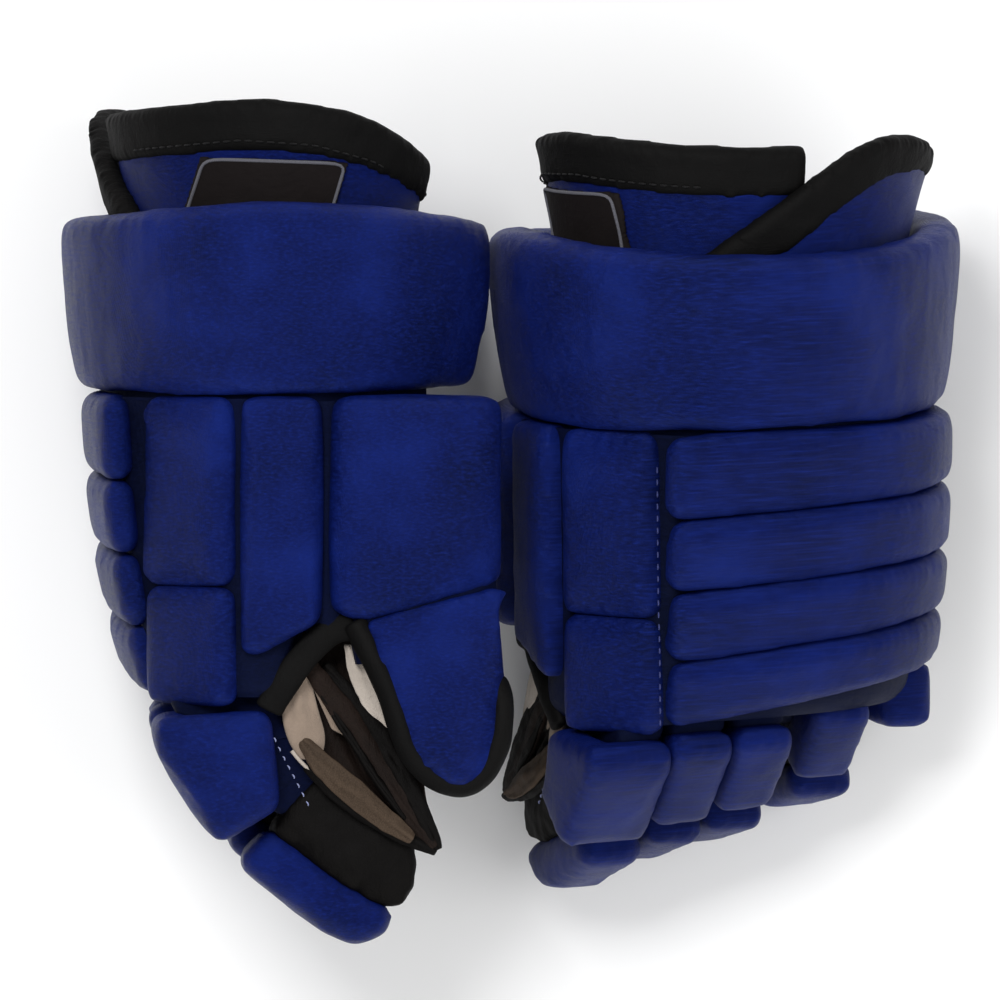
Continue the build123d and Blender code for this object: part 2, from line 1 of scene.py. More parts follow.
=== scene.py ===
# A pair of padded gloves in ribbed blue nylon with leather palms and wide cuffs, on a white
# floor and seen from straight above. Both gloves are built by the same code, each in its own
# frame. The left one has its thumb folded and its fingers curled further in.
#
# Glove frame, in millimetres: x to the thumb, y to the cuff, z out of the back of the hand.
# Points are written as (x, v, z), where v is -y and runs towards the fingertips.
import json
import math
from collections import namedtuple
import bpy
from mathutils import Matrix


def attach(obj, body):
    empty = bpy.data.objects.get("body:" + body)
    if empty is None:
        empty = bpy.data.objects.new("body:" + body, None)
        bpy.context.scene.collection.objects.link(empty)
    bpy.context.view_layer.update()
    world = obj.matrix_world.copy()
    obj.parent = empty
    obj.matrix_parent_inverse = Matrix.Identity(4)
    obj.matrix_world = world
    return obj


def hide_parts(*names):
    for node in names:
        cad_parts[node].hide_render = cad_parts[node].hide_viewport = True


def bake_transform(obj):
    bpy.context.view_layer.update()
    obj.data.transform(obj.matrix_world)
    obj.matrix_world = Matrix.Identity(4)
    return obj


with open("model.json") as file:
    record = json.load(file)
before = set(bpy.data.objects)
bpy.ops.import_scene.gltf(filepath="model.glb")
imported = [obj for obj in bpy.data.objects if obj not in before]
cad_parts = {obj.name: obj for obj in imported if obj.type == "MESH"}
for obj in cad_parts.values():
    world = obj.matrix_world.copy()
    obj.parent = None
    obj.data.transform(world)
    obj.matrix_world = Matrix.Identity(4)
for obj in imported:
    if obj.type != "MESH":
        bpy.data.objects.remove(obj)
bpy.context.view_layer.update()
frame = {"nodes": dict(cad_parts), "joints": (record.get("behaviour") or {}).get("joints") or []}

from types import SimpleNamespace

import bmesh
import bpy
import numpy as np
from mathutils import Vector, noise

MM = 0.001
SIDES = ("right", "left")
JOINT = {joint["name"]: joint for joint in frame["joints"]}
FLOOR_GAP = 0.0003  # metres, lowest height of any piece

# ------------------------------------------------------------------ glove frames
WRIST_HINGE = np.array([0, -0.9, -86.0])  # (x, y, z) of the wrist hinge in the glove
FLIP_Y = np.array([1, -1, 1])             # between v and y


def glove_matrix(side):
    """Axes and origin of a glove, recovered from its wrist hinge and thumb hinge."""
    wrist = JOINT[side + "_wrist_flex"]
    fold_axis = np.array(JOINT[side + "_thumb_fold"]["axis"], float)
    x_axis = -np.array(wrist["axis"], float)
    y_axis = -fold_axis if side == "right" else fold_axis
    y_axis = y_axis - x_axis * np.dot(x_axis, y_axis)
    y_axis /= np.linalg.norm(y_axis)
    axes = np.stack([x_axis, y_axis, np.cross(x_axis, y_axis)], 1)
    if side == "left":
        axes = axes @ np.diag([-1.0, 1.0, 1.0])
    origin = np.array(wrist["pos_m"], float) - axes @ (WRIST_HINGE * MM)
    return axes, origin


GLOVE = {side: glove_matrix(side) for side in SIDES}


def to_world(side, points):
    """(x, v, z) in glove millimetres to metres in the row frame."""
    axes, origin = GLOVE[side]
    return np.array(points, float).reshape(-1, 3) * FLIP_Y * MM @ axes.T + origin


def to_glove(side, points):
    axes, origin = GLOVE[side]
    local = (np.array(points, float).reshape(-1, 3) - origin) @ np.linalg.inv(axes).T
    return local * FLIP_Y / MM


# ------------------------------------------------------------------ shader building
BLACK = (0, 0, 0, 1)
WHITE = (1, 1, 1, 1)


def srgb(red, green, blue):
    def linear(part):
        return part / 12.92 if part <= 0.04045 else ((part + 0.055) / 1.055) ** 2.4

    return (linear(red / 255), linear(green / 255), linear(blue / 255), 1.0)


def scaled(colour, factor):
    return tuple(min(1.0, part * factor) for part in colour[:3]) + (1,)


class Shader:
    """A material being built. Its textures read the glove millimetres stored on each piece."""

    def __init__(self, name):
        self.material = bpy.data.materials.new(name)
        self.material.use_nodes = True
        self.tree = self.material.node_tree
        self.tree.nodes.clear()
        output = self.new("ShaderNodeOutputMaterial")
        self.bsdf = self.new("ShaderNodeBsdfPrincipled")
        self.tree.links.new(self.bsdf.outputs[0], output.inputs[0])
        self.place = self.new("ShaderNodeAttribute", attribute_name="glove_mm").outputs["Vector"]

    def new(self, kind, inputs=None, **settings):
        node = self.tree.nodes.new(kind)
        for key, value in settings.items():
            setattr(node, key, value)
        for key, value in (inputs or {}).items():
            self.feed(node.inputs[key], value)
        return node

    def feed(self, socket, value):
        if isinstance(value, (int, float, tuple)):
            socket.default_value = value
        else:
            self.tree.links.new(value, socket)

    def set(self, key, value):
        self.feed(self.bsdf.inputs[key], value)

    def coords(self, x=1.0, y=1.0, z=1.0):
        """Glove millimetres multiplied per axis; a small factor draws a texture out."""
        inputs = {0: self.place, 1: (x, y, z)}
        return self.new("ShaderNodeVectorMath", inputs, operation="MULTIPLY").outputs[0]

    def noise(self, coords, scale, detail=3.0, rough=0.55, distortion=0.0):
        inputs = {"Scale": scale, "Detail": detail, "Roughness": rough,
                  "Distortion": distortion, "Vector": coords}
        return self.new("ShaderNodeTexNoise", inputs).outputs["Fac"]

    def wave(self, coords, scale, direction, distortion, detail):
        inputs = {"Scale": scale, "Distortion": distortion, "Detail": detail,
                  "Detail Scale": 1.5, "Vector": coords}
        node = self.new("ShaderNodeTexWave", inputs, wave_type="BANDS",
                        bands_direction=direction)
        return node.outputs["Fac"]

    def pointiness(self):
        """High on convex edges, low in creases."""
        return self.new("ShaderNodeNewGeometry").outputs["Pointiness"]

    def ramp(self, factor, *stops):
        node = self.new("ShaderNodeValToRGB", {0: factor})
        elements = node.color_ramp.elements
        elements[0].position, elements[0].color = stops[0]
        elements[1].position, elements[1].color = stops[-1]
        for position, colour in stops[1:-1]:
            elements.new(position).color = colour
        return node.outputs[0]

    def math(self, operation, first, second, clamp=False):
        node = self.new("ShaderNodeMath", {0: first, 1: second},
                        operation=operation, use_clamp=clamp)
        return node.outputs[0]

    def mul(self, first, second, clamp=False):
        return self.math("MULTIPLY", first, second, clamp)

    def vary(self, factor, amount, base):
        """base + factor * amount."""
        return self.math("ADD", self.mul(factor, amount), base)

    def mix(self, factor, first, second):
        node = self.new("ShaderNodeMix", {0: factor, 6: first, 7: second},
                        data_type="RGBA", blend_type="MIX")
        return node.outputs[2]

    def bump(self, height, strength, distance, under=None):
        inputs = {"Strength": strength, "Distance": distance, "Height": height}
        if under is not None:
            inputs["Normal"] = under
        return self.new("ShaderNodeBump", inputs).outputs[0]


# ------------------------------------------------------------------ materials
# Texture scales are per millimetre, bump distances in metres.
def nylon(name, deep, mid, light, rough=0.44):
    """Ribbed nylon: fine crosswise threads, satin sheen, cloudy colour, painted highlights on
    convex edges and painted shade in creases.
    """
    mat = Shader(name)
    # thread ribs run across the glove, about 1.15 mm apart, broken up so that they read as yarn
    ribs = mat.wave(mat.coords(x=0.04, z=0.35), scale=0.87, direction="Y",
                    distortion=0.7, detail=2.0)
    warp = mat.wave(mat.coords(y=0.05), scale=1.9, direction="DIAGONAL",
                    distortion=0.4, detail=1.0)
    slub = mat.noise(mat.coords(x=0.05, y=1.1, z=0.5), scale=1.0)
    cloud = mat.noise(mat.coords(), scale=0.022, detail=4.0)
    fine = mat.noise(mat.coords(), scale=0.55, detail=2.0)
    base = mat.ramp(cloud, (0.28, deep), (0.5, mid), (0.74, light))
    ribbed = mat.mix(mat.mul(ribs, 0.62), base, deep)
    streak = mat.mul(mat.math("POWER", slub, 3.0), 1.7, clamp=True)
    streaked = mat.mix(streak, ribbed, light)
    convexity = mat.pointiness()
    # painted highlight: convex edges are mixed towards the light colour
    edge = mat.ramp(convexity, (0.505, BLACK), (0.56, WHITE))
    edge_highlight = mat.mul(mat.mul(edge, fine), 0.45)
    # painted shade: creases are mixed towards a very dark blue
    crease_shade = mat.ramp(convexity, (0.40, WHITE), (0.492, BLACK))
    colour = mat.mix(edge_highlight, streaked, light)
    colour = mat.mix(mat.mul(crease_shade, 0.7), colour, scaled(deep, 0.35))
    mat.set("Base Color", colour)
    mat.set("Roughness", mat.vary(slub, amount=0.22, base=rough - 0.11))
    mat.set("Sheen Weight", 0.05)
    mat.set("Sheen Roughness", 0.35)
    mat.set("Sheen Tint", scaled(light, 2.2))
    mat.set("Specular IOR Level", 0.22)
    mat.set("Specular Tint", (0.35, 0.48, 1.0, 1))
    weave = mat.math("ADD", mat.mul(ribs, 0.75), mat.mul(warp, 0.25))
    normal = mat.bump(weave, strength=0.8, distance=0.0003)
    normal = mat.bump(slub, strength=0.35, distance=0.0004, under=normal)
    pucker = mat.noise(mat.coords(), scale=0.075, rough=0.5, distortion=0.6)
    mat.set("Normal", mat.bump(pucker, strength=0.5, distance=0.0022, under=normal))
    return mat.material


def woven(name, dark, light, pitch, rough, sheen, bump):
    """Plain-weave cloth or tape; pitch is the thread spacing."""
    mat = Shader(name)
    fast = 1.5 / pitch
    slow = fast * 0.16
    threads = [mat.noise(mat.coords(*factors), scale=1.0, detail=1.0, rough=0.5)
               for factors in ((fast, slow, slow), (slow, fast, slow), (slow, slow, fast))]
    weave = mat.math("MAXIMUM", mat.math("MAXIMUM", threads[0], threads[1]), threads[2])
    cloud = mat.noise(mat.coords(), scale=0.05, detail=4.0)
    fuzz = mat.noise(mat.coords(), scale=1.3, detail=2.0)
    base = mat.mix(cloud, dark, light)
    base = mat.mix(mat.mul(weave, 0.45), base, dark)
    base = mat.mix(mat.mul(mat.math("POWER", fuzz, 4.0), 1.2, clamp=True), base, light)
    edge = mat.ramp(mat.pointiness(), (0.51, BLACK), (0.58, WHITE))
    mat.set("Base Color", mat.mix(mat.mul(edge, 0.35), base, light))
    mat.set("Roughness", mat.vary(fuzz, amount=0.2, base=rough - 0.1))
    mat.set("Sheen Weight", sheen)
    mat.set("Sheen Roughness", 0.5)
    mat.set("Sheen Tint", scaled(light, 2.0))
    mat.set("Specular IOR Level", 0.1)
    normal = mat.bump(weave, strength=0.6, distance=bump)
    ripple = mat.noise(mat.coords(), scale=0.12)
    mat.set("Normal", mat.bump(ripple, strength=0.4, distance=0.0016, under=normal))
    return mat.material


def leather(name, dark, light, rough, grain=0.9, crease=0.4):
    """Grained leather with creases, darker in the grain and lighter on convex edges."""
    mat = Shader(name)
    cells = mat.new("ShaderNodeTexVoronoi", {"Scale": grain, "Vector": mat.place},
                    feature="DISTANCE_TO_EDGE")
    pores = mat.math("MINIMUM", cells.outputs["Distance"], 0.35)
    folds = mat.noise(mat.coords(y=0.35), scale=0.12, detail=5.0, rough=0.6, distortion=1.2)
    cloud = mat.noise(mat.coords(), scale=0.04, detail=4.0)
    base = mat.mix(cloud, dark, light)
    grain_mask = mat.ramp(pores, (0.0, (0.55, 0.55, 0.55, 1)), (0.12, BLACK))
    base = mat.mix(grain_mask, base, scaled(dark, 0.4))
    edge = mat.ramp(mat.pointiness(), (0.505, BLACK), (0.57, WHITE))
    mat.set("Base Color", mat.mix(mat.mul(edge, 0.5), base, light))
    mat.set("Roughness", mat.vary(cloud, amount=0.25, base=rough - 0.12))
    mat.set("Specular IOR Level", 0.08)
    normal = mat.bump(pores, strength=0.45, distance=0.0004)
    mat.set("Normal", mat.bump(folds, strength=crease, distance=0.0022, under=normal))
    return mat.material


def fleece(name, dark, light, rough=0.9):
    """Brushed lining: matt and slightly felted."""
    mat = Shader(name)
    felt = mat.noise(mat.coords(), scale=0.9, detail=5.0, rough=0.7, distortion=0.8)
    cloud = mat.noise(mat.coords(), scale=0.07)
    base = mat.mix(cloud, dark, light)
    mat.set("Base Color", mat.mix(mat.mul(felt, 0.5), base, dark))
    mat.set("Roughness", rough)
    mat.set("Sheen Weight", 0.12)
    mat.set("Sheen Roughness", 0.7)
    mat.set("Specular IOR Level", 0.05)
    normal = mat.bump(felt, strength=0.7, distance=0.0006)
    mat.set("Normal", mat.bump(cloud, strength=0.4, distance=0.002, under=normal))
    return mat.material


def yarn(name, dark, light):
    """Twisted thread or cord."""
    mat = Shader(name)
    twist = mat.wave(mat.coords(), scale=1.6, direction="DIAGONAL", distortion=0.3, detail=1.0)
    mat.set("Base Color", mat.mix(twist, dark, light))
    fuzz = mat.noise(mat.coords(), scale=1.1)
    mat.set("Roughness", mat.vary(fuzz, amount=0.2, base=0.5))
    mat.set("Sheen Weight", 0.05)
    mat.set("Specular IOR Level", 0.15)
    mat.set("Normal", mat.bump(twist, strength=0.6, distance=0.0002))
    return mat.material


# "cloth" and "bluethread" are spare: no piece wears them
MATERIAL = {
    "nylon": nylon("blue_ribbed_nylon", srgb(4, 7, 38), srgb(8, 18, 76), srgb(18, 37, 118)),
    # painted shade: the same blue nylon made darker, for cloth set back under and between the
    # pads
    "shade": nylon("shaded_blue_nylon", srgb(2, 3, 16), srgb(4, 7, 30), srgb(8, 14, 48),
                   rough=0.62),
    "cloth": woven("dark_blue_cloth", srgb(3, 5, 22), srgb(8, 11, 44),
                   pitch=0.9, rough=0.7, sheen=0.05, bump=0.0004),
    "tape": woven("black_tape", srgb(3, 3, 3), srgb(13, 12, 12),
                  pitch=1.25, rough=0.75, sheen=0.04, bump=0.0005),
    "leather": leather("black_leather", srgb(3, 2, 2), srgb(12, 10, 9), rough=0.64),
    "brown": leather("brown_leather", srgb(12, 8, 7), srgb(36, 27, 23),
                     rough=0.66, grain=1.1, crease=0.6),
    "olive": leather("worn_leather", srgb(38, 31, 25), srgb(82, 68, 56),
                     rough=0.68, grain=1.2, crease=0.6),
    "beige": fleece("beige_suede", srgb(112, 98, 86), srgb(160, 142, 126)),
    "cream": fleece("cream_lining", srgb(150, 140, 130), srgb(206, 196, 186)),
    "liner": fleece("grey_lining", srgb(30, 29, 31), srgb(66, 62, 63), rough=0.98),
    "label": woven("label_cloth", srgb(12, 9, 9), srgb(28, 23, 23),
                   pitch=0.8, rough=0.8, sheen=0.04, bump=0.0003),
    "piping": yarn("grey_piping", srgb(60, 60, 66), srgb(112, 112, 120)),
    "thread": yarn("white_thread", srgb(96, 102, 146), srgb(164, 172, 208)),
    "bluethread": yarn("blue_thread", srgb(14, 20, 80), srgb(40, 54, 150)),
    "blackthread": yarn("black_thread", srgb(5, 5, 6), srgb(20, 19, 20)),
    "palethread": yarn("pale_blue_thread", srgb(34, 40, 84), srgb(74, 82, 138)),
}


# ------------------------------------------------------------------ mesh helpers
def mesh_object(name, points, faces):
    mesh = bpy.data.meshes.new(name)
    mesh.from_pydata([tuple(point) for point in points], [], [tuple(face) for face in faces])
    mesh.update()
    piece = bpy.data.objects.new(name, mesh)
    bpy.context.scene.collection.objects.link(piece)
    return piece


def read_vectors(vertices, key):
    values = np.empty(len(vertices) * 3)
    vertices.foreach_get(key, values)
    return values.reshape(-1, 3)


def verts(piece):
    return read_vectors(piece.data.vertices, "co")


def normals(piece):
    return read_vectors(piece.data.vertices, "normal")


def set_verts(piece, points):
    flat = np.ascontiguousarray(points, dtype=np.float32).ravel()
    piece.data.vertices.foreach_set("co", flat)
    piece.data.update()


def grow(piece, amount):
    """Moves the surface out along its normals, in millimetres."""
    set_verts(piece, verts(piece) + normals(piece) * amount * MM)


def bake(piece):
    """Applies the object's modifiers to its mesh."""
    graph = bpy.context.evaluated_depsgraph_get()
    graph.update()
    mesh = bpy.data.meshes.new_from_object(piece.evaluated_get(graph))
    old = piece.data
    piece.modifiers.clear()
    piece.data = mesh
    bpy.data.meshes.remove(old)


def fix_normals(piece):
    work = bmesh.new()
    work.from_mesh(piece.data)
    bmesh.ops.recalc_face_normals(work, faces=work.faces)
    work.to_mesh(piece.data)
    work.free()


def remesh(piece, size, passes):
    """Rebuilds a solid from voxels of a size in millimetres, then smooths it."""
    voxels = piece.modifiers.new("r", "REMESH")
    voxels.mode = "VOXEL"
    voxels.voxel_size = size * MM
    voxels.adaptivity = 0
    smoothing = piece.modifiers.new("s", "SMOOTH")
    smoothing.iterations = passes
    smoothing.factor = 0.5
    bake(piece)


def subdivide(piece, levels=1):
    subsurf = piece.modifiers.new("d", "SUBSURF")
    subsurf.levels = levels
    subsurf.render_levels = levels
    bake(piece)


def thicken(piece, thick):
    solidify = piece.modifiers.new("t", "SOLIDIFY")
    solidify.thickness = thick * MM
    solidify.offset = 0
    bake(piece)


def islands(side, node):
    """The separate closed solids of a CAD node, as (vertices, faces), in the row frame."""
    work = bmesh.new()
    work.from_mesh(frame["nodes"][f"{side}_{node}"].data)
    bmesh.ops.remove_doubles(work, verts=work.verts, dist=1e-6)
    work.verts.ensure_lookup_table()
    seen = np.zeros(len(work.verts), bool)
    solids = []
    for first in work.verts:
        if seen[first.index]:
            continue
        stack, group = [first], []
        seen[first.index] = True
        while stack:
            vert = stack.pop()
            group.append(vert)
            for edge in vert.link_edges:
                other = edge.other_vert(vert)
                if not seen[other.index]:
                    seen[other.index] = True
                    stack.append(other)
        index = {vert.index: i for i, vert in enumerate(group)}
        faces = {face for vert in group for face in vert.link_faces}
        faces = sorted(faces, key=lambda face: face.index)
        solids.append((np.array([vert.co[:] for vert in group]),
                       [[index[vert.index] for vert in face.verts] for face in faces]))
    work.free()
    solids.sort(key=lambda solid: tuple(np.round(solid[0].mean(0), 5)))
    return solids


def joined(solids):
    """Several (vertices, faces) as one."""
    points, faces = [], []
    for solid_points, solid_faces in solids:
        base = len(points)
        points += list(solid_points)
        faces += [[i + base for i in face] for face in solid_faces]
    return points, faces


def hull(solid):
    """The convex hull of a solid."""
    work = bmesh.new()
    for point in solid[0]:
        work.verts.new(point)
    result = bmesh.ops.convex_hull(work, input=work.verts)
    inner = [geom for geom in result["geom_interior"] if isinstance(geom, bmesh.types.BMVert)]
    bmesh.ops.delete(work, geom=inner, context="VERTS")
    work.verts.index_update()
    points = np.array([vert.co[:] for vert in work.verts])
    faces = [[vert.index for vert in face.verts] for face in work.faces]
    work.free()
    return points, faces


def crumple(piece, side, amount, scale, seed, stretch=(1, 1, 1)):
    """Two octaves of noise along the normals; amount in millimetres, scale per millimetre."""
    points = to_glove(side, verts(piece)) * np.array(stretch)
    heights = np.zeros(len(points))
    for i, (x, v, z) in enumerate(points):
        for octave, weight in ((scale, 1.0), (scale * 2.1, 0.5)):
            spot = Vector((x * octave + seed, v * octave + seed * 1.7, z * octave - seed))
            heights[i] += weight * noise.noise(spot)
    set_verts(piece, verts(piece) + normals(piece) * (heights * amount * MM)[:, None])


def finish(piece, side, mat, body=None, blend=None, replaces=None):
    """Gives a piece its material and glove coordinates, and joins it to body. Blend is (first
    body, second body, start point, end point); when it is given the piece joins no body and its
    transform is baked instead, and the bodies and points are not used."""
    mesh = piece.data
    points = verts(piece)
    if points[:, 2].min() < FLOOR_GAP:
        points[:, 2] = np.maximum(points[:, 2], FLOOR_GAP)
        set_verts(piece, points)
    mesh.materials.clear()
    mesh.materials.append(MATERIAL[mat])
    place = mesh.attributes.new("glove_mm", "FLOAT_VECTOR", "POINT")
    place.data.foreach_set("vector", to_glove(side, verts(piece)).astype(np.float32).ravel())
    mesh.polygons.foreach_set("use_smooth", [True] * len(mesh.polygons))
    mesh.update()
    if blend:
        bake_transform(piece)
    else:
        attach(piece, f"{side}_{body}")
    if replaces:
        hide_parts(f"{side}_{replaces}")


# ------------------------------------------------------------------ shape builders
def unit(vector):
    return vector / (np.linalg.norm(vector) + 1e-9)


def smoothstep(values):
    values = np.clip(values, 0, 1)
    return values**2 * (3 - 2 * values)


def grid_faces(rows, columns, closed=True, start_cap=False, end_cap=False, base=0):
    """Quads between rows of points; closed joins each row's last point to its first."""
    faces = []
    for i in range(rows - 1):
        near, far = base + i * columns, base + (i + 1) * columns
        for j in range(columns if closed else columns - 1):
            k = (j + 1) % columns
            faces.append((near + j, near + k, far + k, far + j))
    if start_cap:
        faces.append(tuple(base + j for j in range(columns))[::-1])
    if end_cap:
        faces.append(tuple(base + (rows - 1) * columns + j for j in range(columns)))
    return faces


def loft(side, name, rings, thick, levels=1, closed=True, end_cap=False):
    """A cloth shell through rings of (x, v, z), smoothed by subdivision."""
    points = [point for ring in rings for point in ring]
    faces = grid_faces(len(rings), len(rings[0]), closed, end_cap=end_cap)
    piece = mesh_object(f"{side}_{name}", to_world(side, points), faces)
    fix_normals(piece)
    subdivide(piece, levels)
    thicken(piece, thick)
    return piece


def tube(side, name, path, radius, sides, flat=1.0, up=(1, 0, 0)):
    """A cord along a path; flat scales its radius along up, which may vary by point."""
    path = np.array(path, float)
    ups = np.broadcast_to(np.array(up, float), path.shape)
    points = []
    for i, centre in enumerate(path):
        along = unit(path[min(i + 1, len(path) - 1)] - path[max(i - 1, 0)])
        rise = unit(ups[i] - along * np.dot(ups[i], along))
        across = np.cross(along, rise)
        for k in range(sides):
            angle = 2 * math.pi * k / sides
            points.append(centre + across * (radius * math.cos(angle))
                          + rise * (radius * flat * math.sin(angle)))
    faces = grid_faces(len(path), sides, start_cap=True, end_cap=True)
    piece = mesh_object(f"{side}_{name}", to_world(side, points), faces)
    fix_normals(piece)
    return piece


def at_stations(stations, known, path):
    return np.stack([np.interp(stations, known, path[:, i]) for i in range(3)], 1)


def path_lengths(path):
    steps = np.linalg.norm(np.diff(path, axis=0), axis=1)
    return np.concatenate([[0], np.cumsum(steps)])


def resample(path, step):
    path = np.array(path, float)
    lengths = path_lengths(path)
    count = max(2, int(round(lengths[-1] / step)) + 1)
    return at_stations(np.linspace(0, lengths[-1], count), lengths, path)


def smooth_path(path, step, rounds=3):
    """Corner-cut and resampled path."""
    path = np.array(path, float)
    for _ in range(rounds):
        cut = [path[0]]
        for start, end in zip(path[:-1], path[1:]):
            cut += [start * 0.75 + end * 0.25, start * 0.25 + end * 0.75]
        cut.append(path[-1])
        path = np.array(cut)
    return resample(path, step)


def stitches(side, name, path, up, length, gap, radius, lift):
    """A row of short stitches lying along a path, each pulled into the cloth at its ends."""
    rings, sides = 5, 6
    path = resample(path, 0.4)
    lengths = path_lengths(path)
    up = np.array(up, float)
    up /= np.linalg.norm(up)
    points, faces, start = [], [], 0.0
    while start + length < lengths[-1]:
        centres = at_stations(np.linspace(start, start + length, rings), lengths, path)
        along = unit(centres[-1] - centres[0])
        across = unit(np.cross(along, up))
        rise = np.cross(across, along)
        faces += grid_faces(rings, sides, start_cap=True, end_cap=True, base=len(points))
        for i, centre in enumerate(centres):
            arch = math.sin(math.pi * (i + 0.35) / 4.7)
            thin = radius * (0.55 + 0.45 * arch)
            for k in range(sides):
                angle = 2 * math.pi * k / sides
                points.append(centre + rise * (lift + 0.5 * arch - 0.4)
                              + across * (thin * math.cos(angle))
                              + rise * (thin * math.sin(angle)))
        start += length + gap
    piece = mesh_object(f"{side}_{name}", to_world(side, points), faces)
    fix_normals(piece)
    return piece


def ribbon(side, name, edge_a, edge_b, across, step, bulge, thick, wrinkle, seed,
           bow=(1, 0, 0), place=None, fray=0.0):
    """A strip of cloth or leather between two edges, bowed along bow and wrinkled along its
    length. Place moves its points."""
    edges = [smooth_path(edge_a, step), smooth_path(edge_b, step)]
    count = max(len(edge) for edge in edges)
    edges = [at_stations(np.linspace(0, 1, count), np.linspace(0, 1, len(edge)), edge)
             for edge in edges]
    bow = np.array(bow, float)
    bow /= np.linalg.norm(bow)
    points = []
    for i, (start, end) in enumerate(zip(*edges)):
        for j in range(across + 1):
            part = j / across
            arch = math.sin(math.pi * part)
            point = start * (1 - part) + end * part + bow * bulge * arch
            broad = Vector((part * across * 0.42 + seed, i * step * 0.035, seed))
            fine = Vector((part * across * 0.9, i * step * 0.09 + seed, 3.0))
            height = noise.noise(broad) + 0.5 * noise.noise(fine)
            point = point + bow * wrinkle * height * (0.35 + 0.65 * arch)
            if fray and j in (0, across):
                width = start - end
                pull = fray * noise.noise(Vector((i * 0.6, j, seed)))
                point = point + width / (np.linalg.norm(width) + 1e-6) * pull
            points.append(point)
    points = np.array(points)
    if place is not None:
        points = place(points)
    faces = grid_faces(count, across + 1, closed=False)
    piece = mesh_object(f"{side}_{name}", to_world(side, points), faces)
    thicken(piece, thick)
    fix_normals(piece)
    subdivide(piece)
    return piece


def rounded(x0, x1, z0, z1, radius):
    """Corner points of a rounded rectangle in (x, z), four to a corner."""
    corners = ((x1 - radius, z1 - radius, 0), (x0 + radius, z1 - radius, 90),
               (x0 + radius, z0 + radius, 180), (x1 - radius, z0 + radius, 270))
    points = []
    for x, z, first in corners:
        for i in range(4):
            angle = math.radians(first + 90 * i / 3)
            points.append((x + radius * math.cos(angle), z + radius * math.sin(angle)))
    return points


# ------------------------------------------------------------------ thumb and index poses
THUMB_FOLD = {"right": 0.0, "left": 12.0}  # degrees the thumb is folded in
THUMB_BEND = {"right": 0.0, "left": 74.0}  # degrees its tip is bent
FOLD_AT = np.array([73.0, 0.0, -19.0])     # (x, y, z) on the fold axis, which runs along y
CREASE = np.array([(74.0, -91.0, -30.0), (74.0, -76.5, -88.0)])  # ends of the bend axis

# x is on the thumb side and the little side of the pad, then of the tip; curl is degrees at
# the knuckle and at the fingertip fold
Finger = namedtuple("Finger", "thumb_x little_x tip_thumb_x tip_little_x knuckle_v knuckle_z"
                    " length depth size curl")
FINGER = {
    "index": Finger(73.0, 51.0, 72.2, 45.2, 127.8, 57.0, 58.0, 27.0, 1.0,
                    {"right": (28, 24), "left": (37, 30)}),
    "middle": Finger(49.6, 23.0, 43.2, 19.0, 125.6, 57.5, 53.0, 23.0, 0.92,
                     {"right": (27, 27), "left": (37, 34)}),
    "ring": Finger(20.6, -5.0, 17.0, -9.4, 125.2, 56.0, 49.0, 23.0, 0.86,
                   {"right": (27, 29), "left": (37, 36)}),
    "little": Finger(-17.5, -43.0, -24.5, -51.0, 118.0, 50.0, 45.0, 21.0, 0.80,
                     {"right": (27, 30), "left": (36, 38)}),
}


def turned(points, origin, axis, degrees):
    axis = np.array(axis, float)
    axis /= np.linalg.norm(axis)
    angle = math.radians(degrees)
    points = points - origin
    return (points * math.cos(angle) + np.cross(axis, points) * math.sin(angle)
            + np.outer(points @ axis, axis) * (1 - math.cos(angle)) + origin)


def thumb(side, points, tip=False):
    """Points of the straight thumb moved to where it rests."""
    points = np.array(points, float).reshape(-1, 3) * FLIP_Y
    if tip:
        points = turned(points, CREASE[0], CREASE[1] - CREASE[0], THUMB_BEND[side])
    return turned(points, FOLD_AT, (0, 1, 0), THUMB_FOLD[side]) * FLIP_Y


def swung(points, pivot, degrees, weights):
    """Points swung about an x axis through pivot, each by its own weight."""
    angles = np.radians(degrees) * weights
    along, rise = points[:, 1] - pivot[1], points[:, 2] - pivot[2]
    points = points.copy()
    points[:, 1] = pivot[1] + along * np.cos(angles) + rise * np.sin(angles)
    points[:, 2] = pivot[2] - along * np.sin(angles) + rise * np.cos(angles)
    return points


def curled(side, points):
    """Points drawn beside the right glove's index finger moved to this side's index finger."""
    points = np.array(points, float).reshape(-1, 3)
    if side == "right":
        return points
    right, left = (FINGER["index"].curl[key] for key in ("right", "left"))
    knuckle = to_glove("right", JOINT["right_index_knuckle"]["pos_m"])[0]
    tip_fold = to_glove("right", JOINT["right_index_fingertip"]["pos_m"])[0]
    at_knuckle = smoothstep((points[:, 1] - (knuckle[1] - 10)) / 20)
    at_tip = smoothstep((points[:, 1] - (tip_fold[1] - 8)) / 16)
    points = swung(points, tip_fold, left[1] - right[1], at_tip)
    return swung(points, knuckle, left[0] - right[0], at_knuckle)


# ------------------------------------------------------------------ padded pieces
BACK_ROLLS = 4
# kind: voxel size, growth before puffing, limit of puffing (all mm), smoothing passes
PADDING = {
    "back_roll": (3.2, 0.5, 2.4, 1),
    "side_pad": (3.0, 0.7, 2.4, 1),
    "little_side": (2.8, -0.3, 2.4, 1),
    "cuff": (4.4, 0.0, 4.0, 1),
    "flap": (3.0, -0.7, 1.3, 2),
    "thumb_base": (3.4, 1.0, 3.2, 1),
    "thumb_tip": (3.2, 0.8, 2.8, 1),
    "pad": (2.8, 0.4, 2.2, 1),
    "tip_pad": (2.8, 0.5, 2.4, 1),
    "gusset": (3.0, -1.0, 1.6, 2),
    "tip_cup": (3.0, 0.3, 2.4, 2),
}
CLOTH_FRAMES = 11


def glove_mean(side, solid):
    return to_glove(side, solid[0]).mean(0)


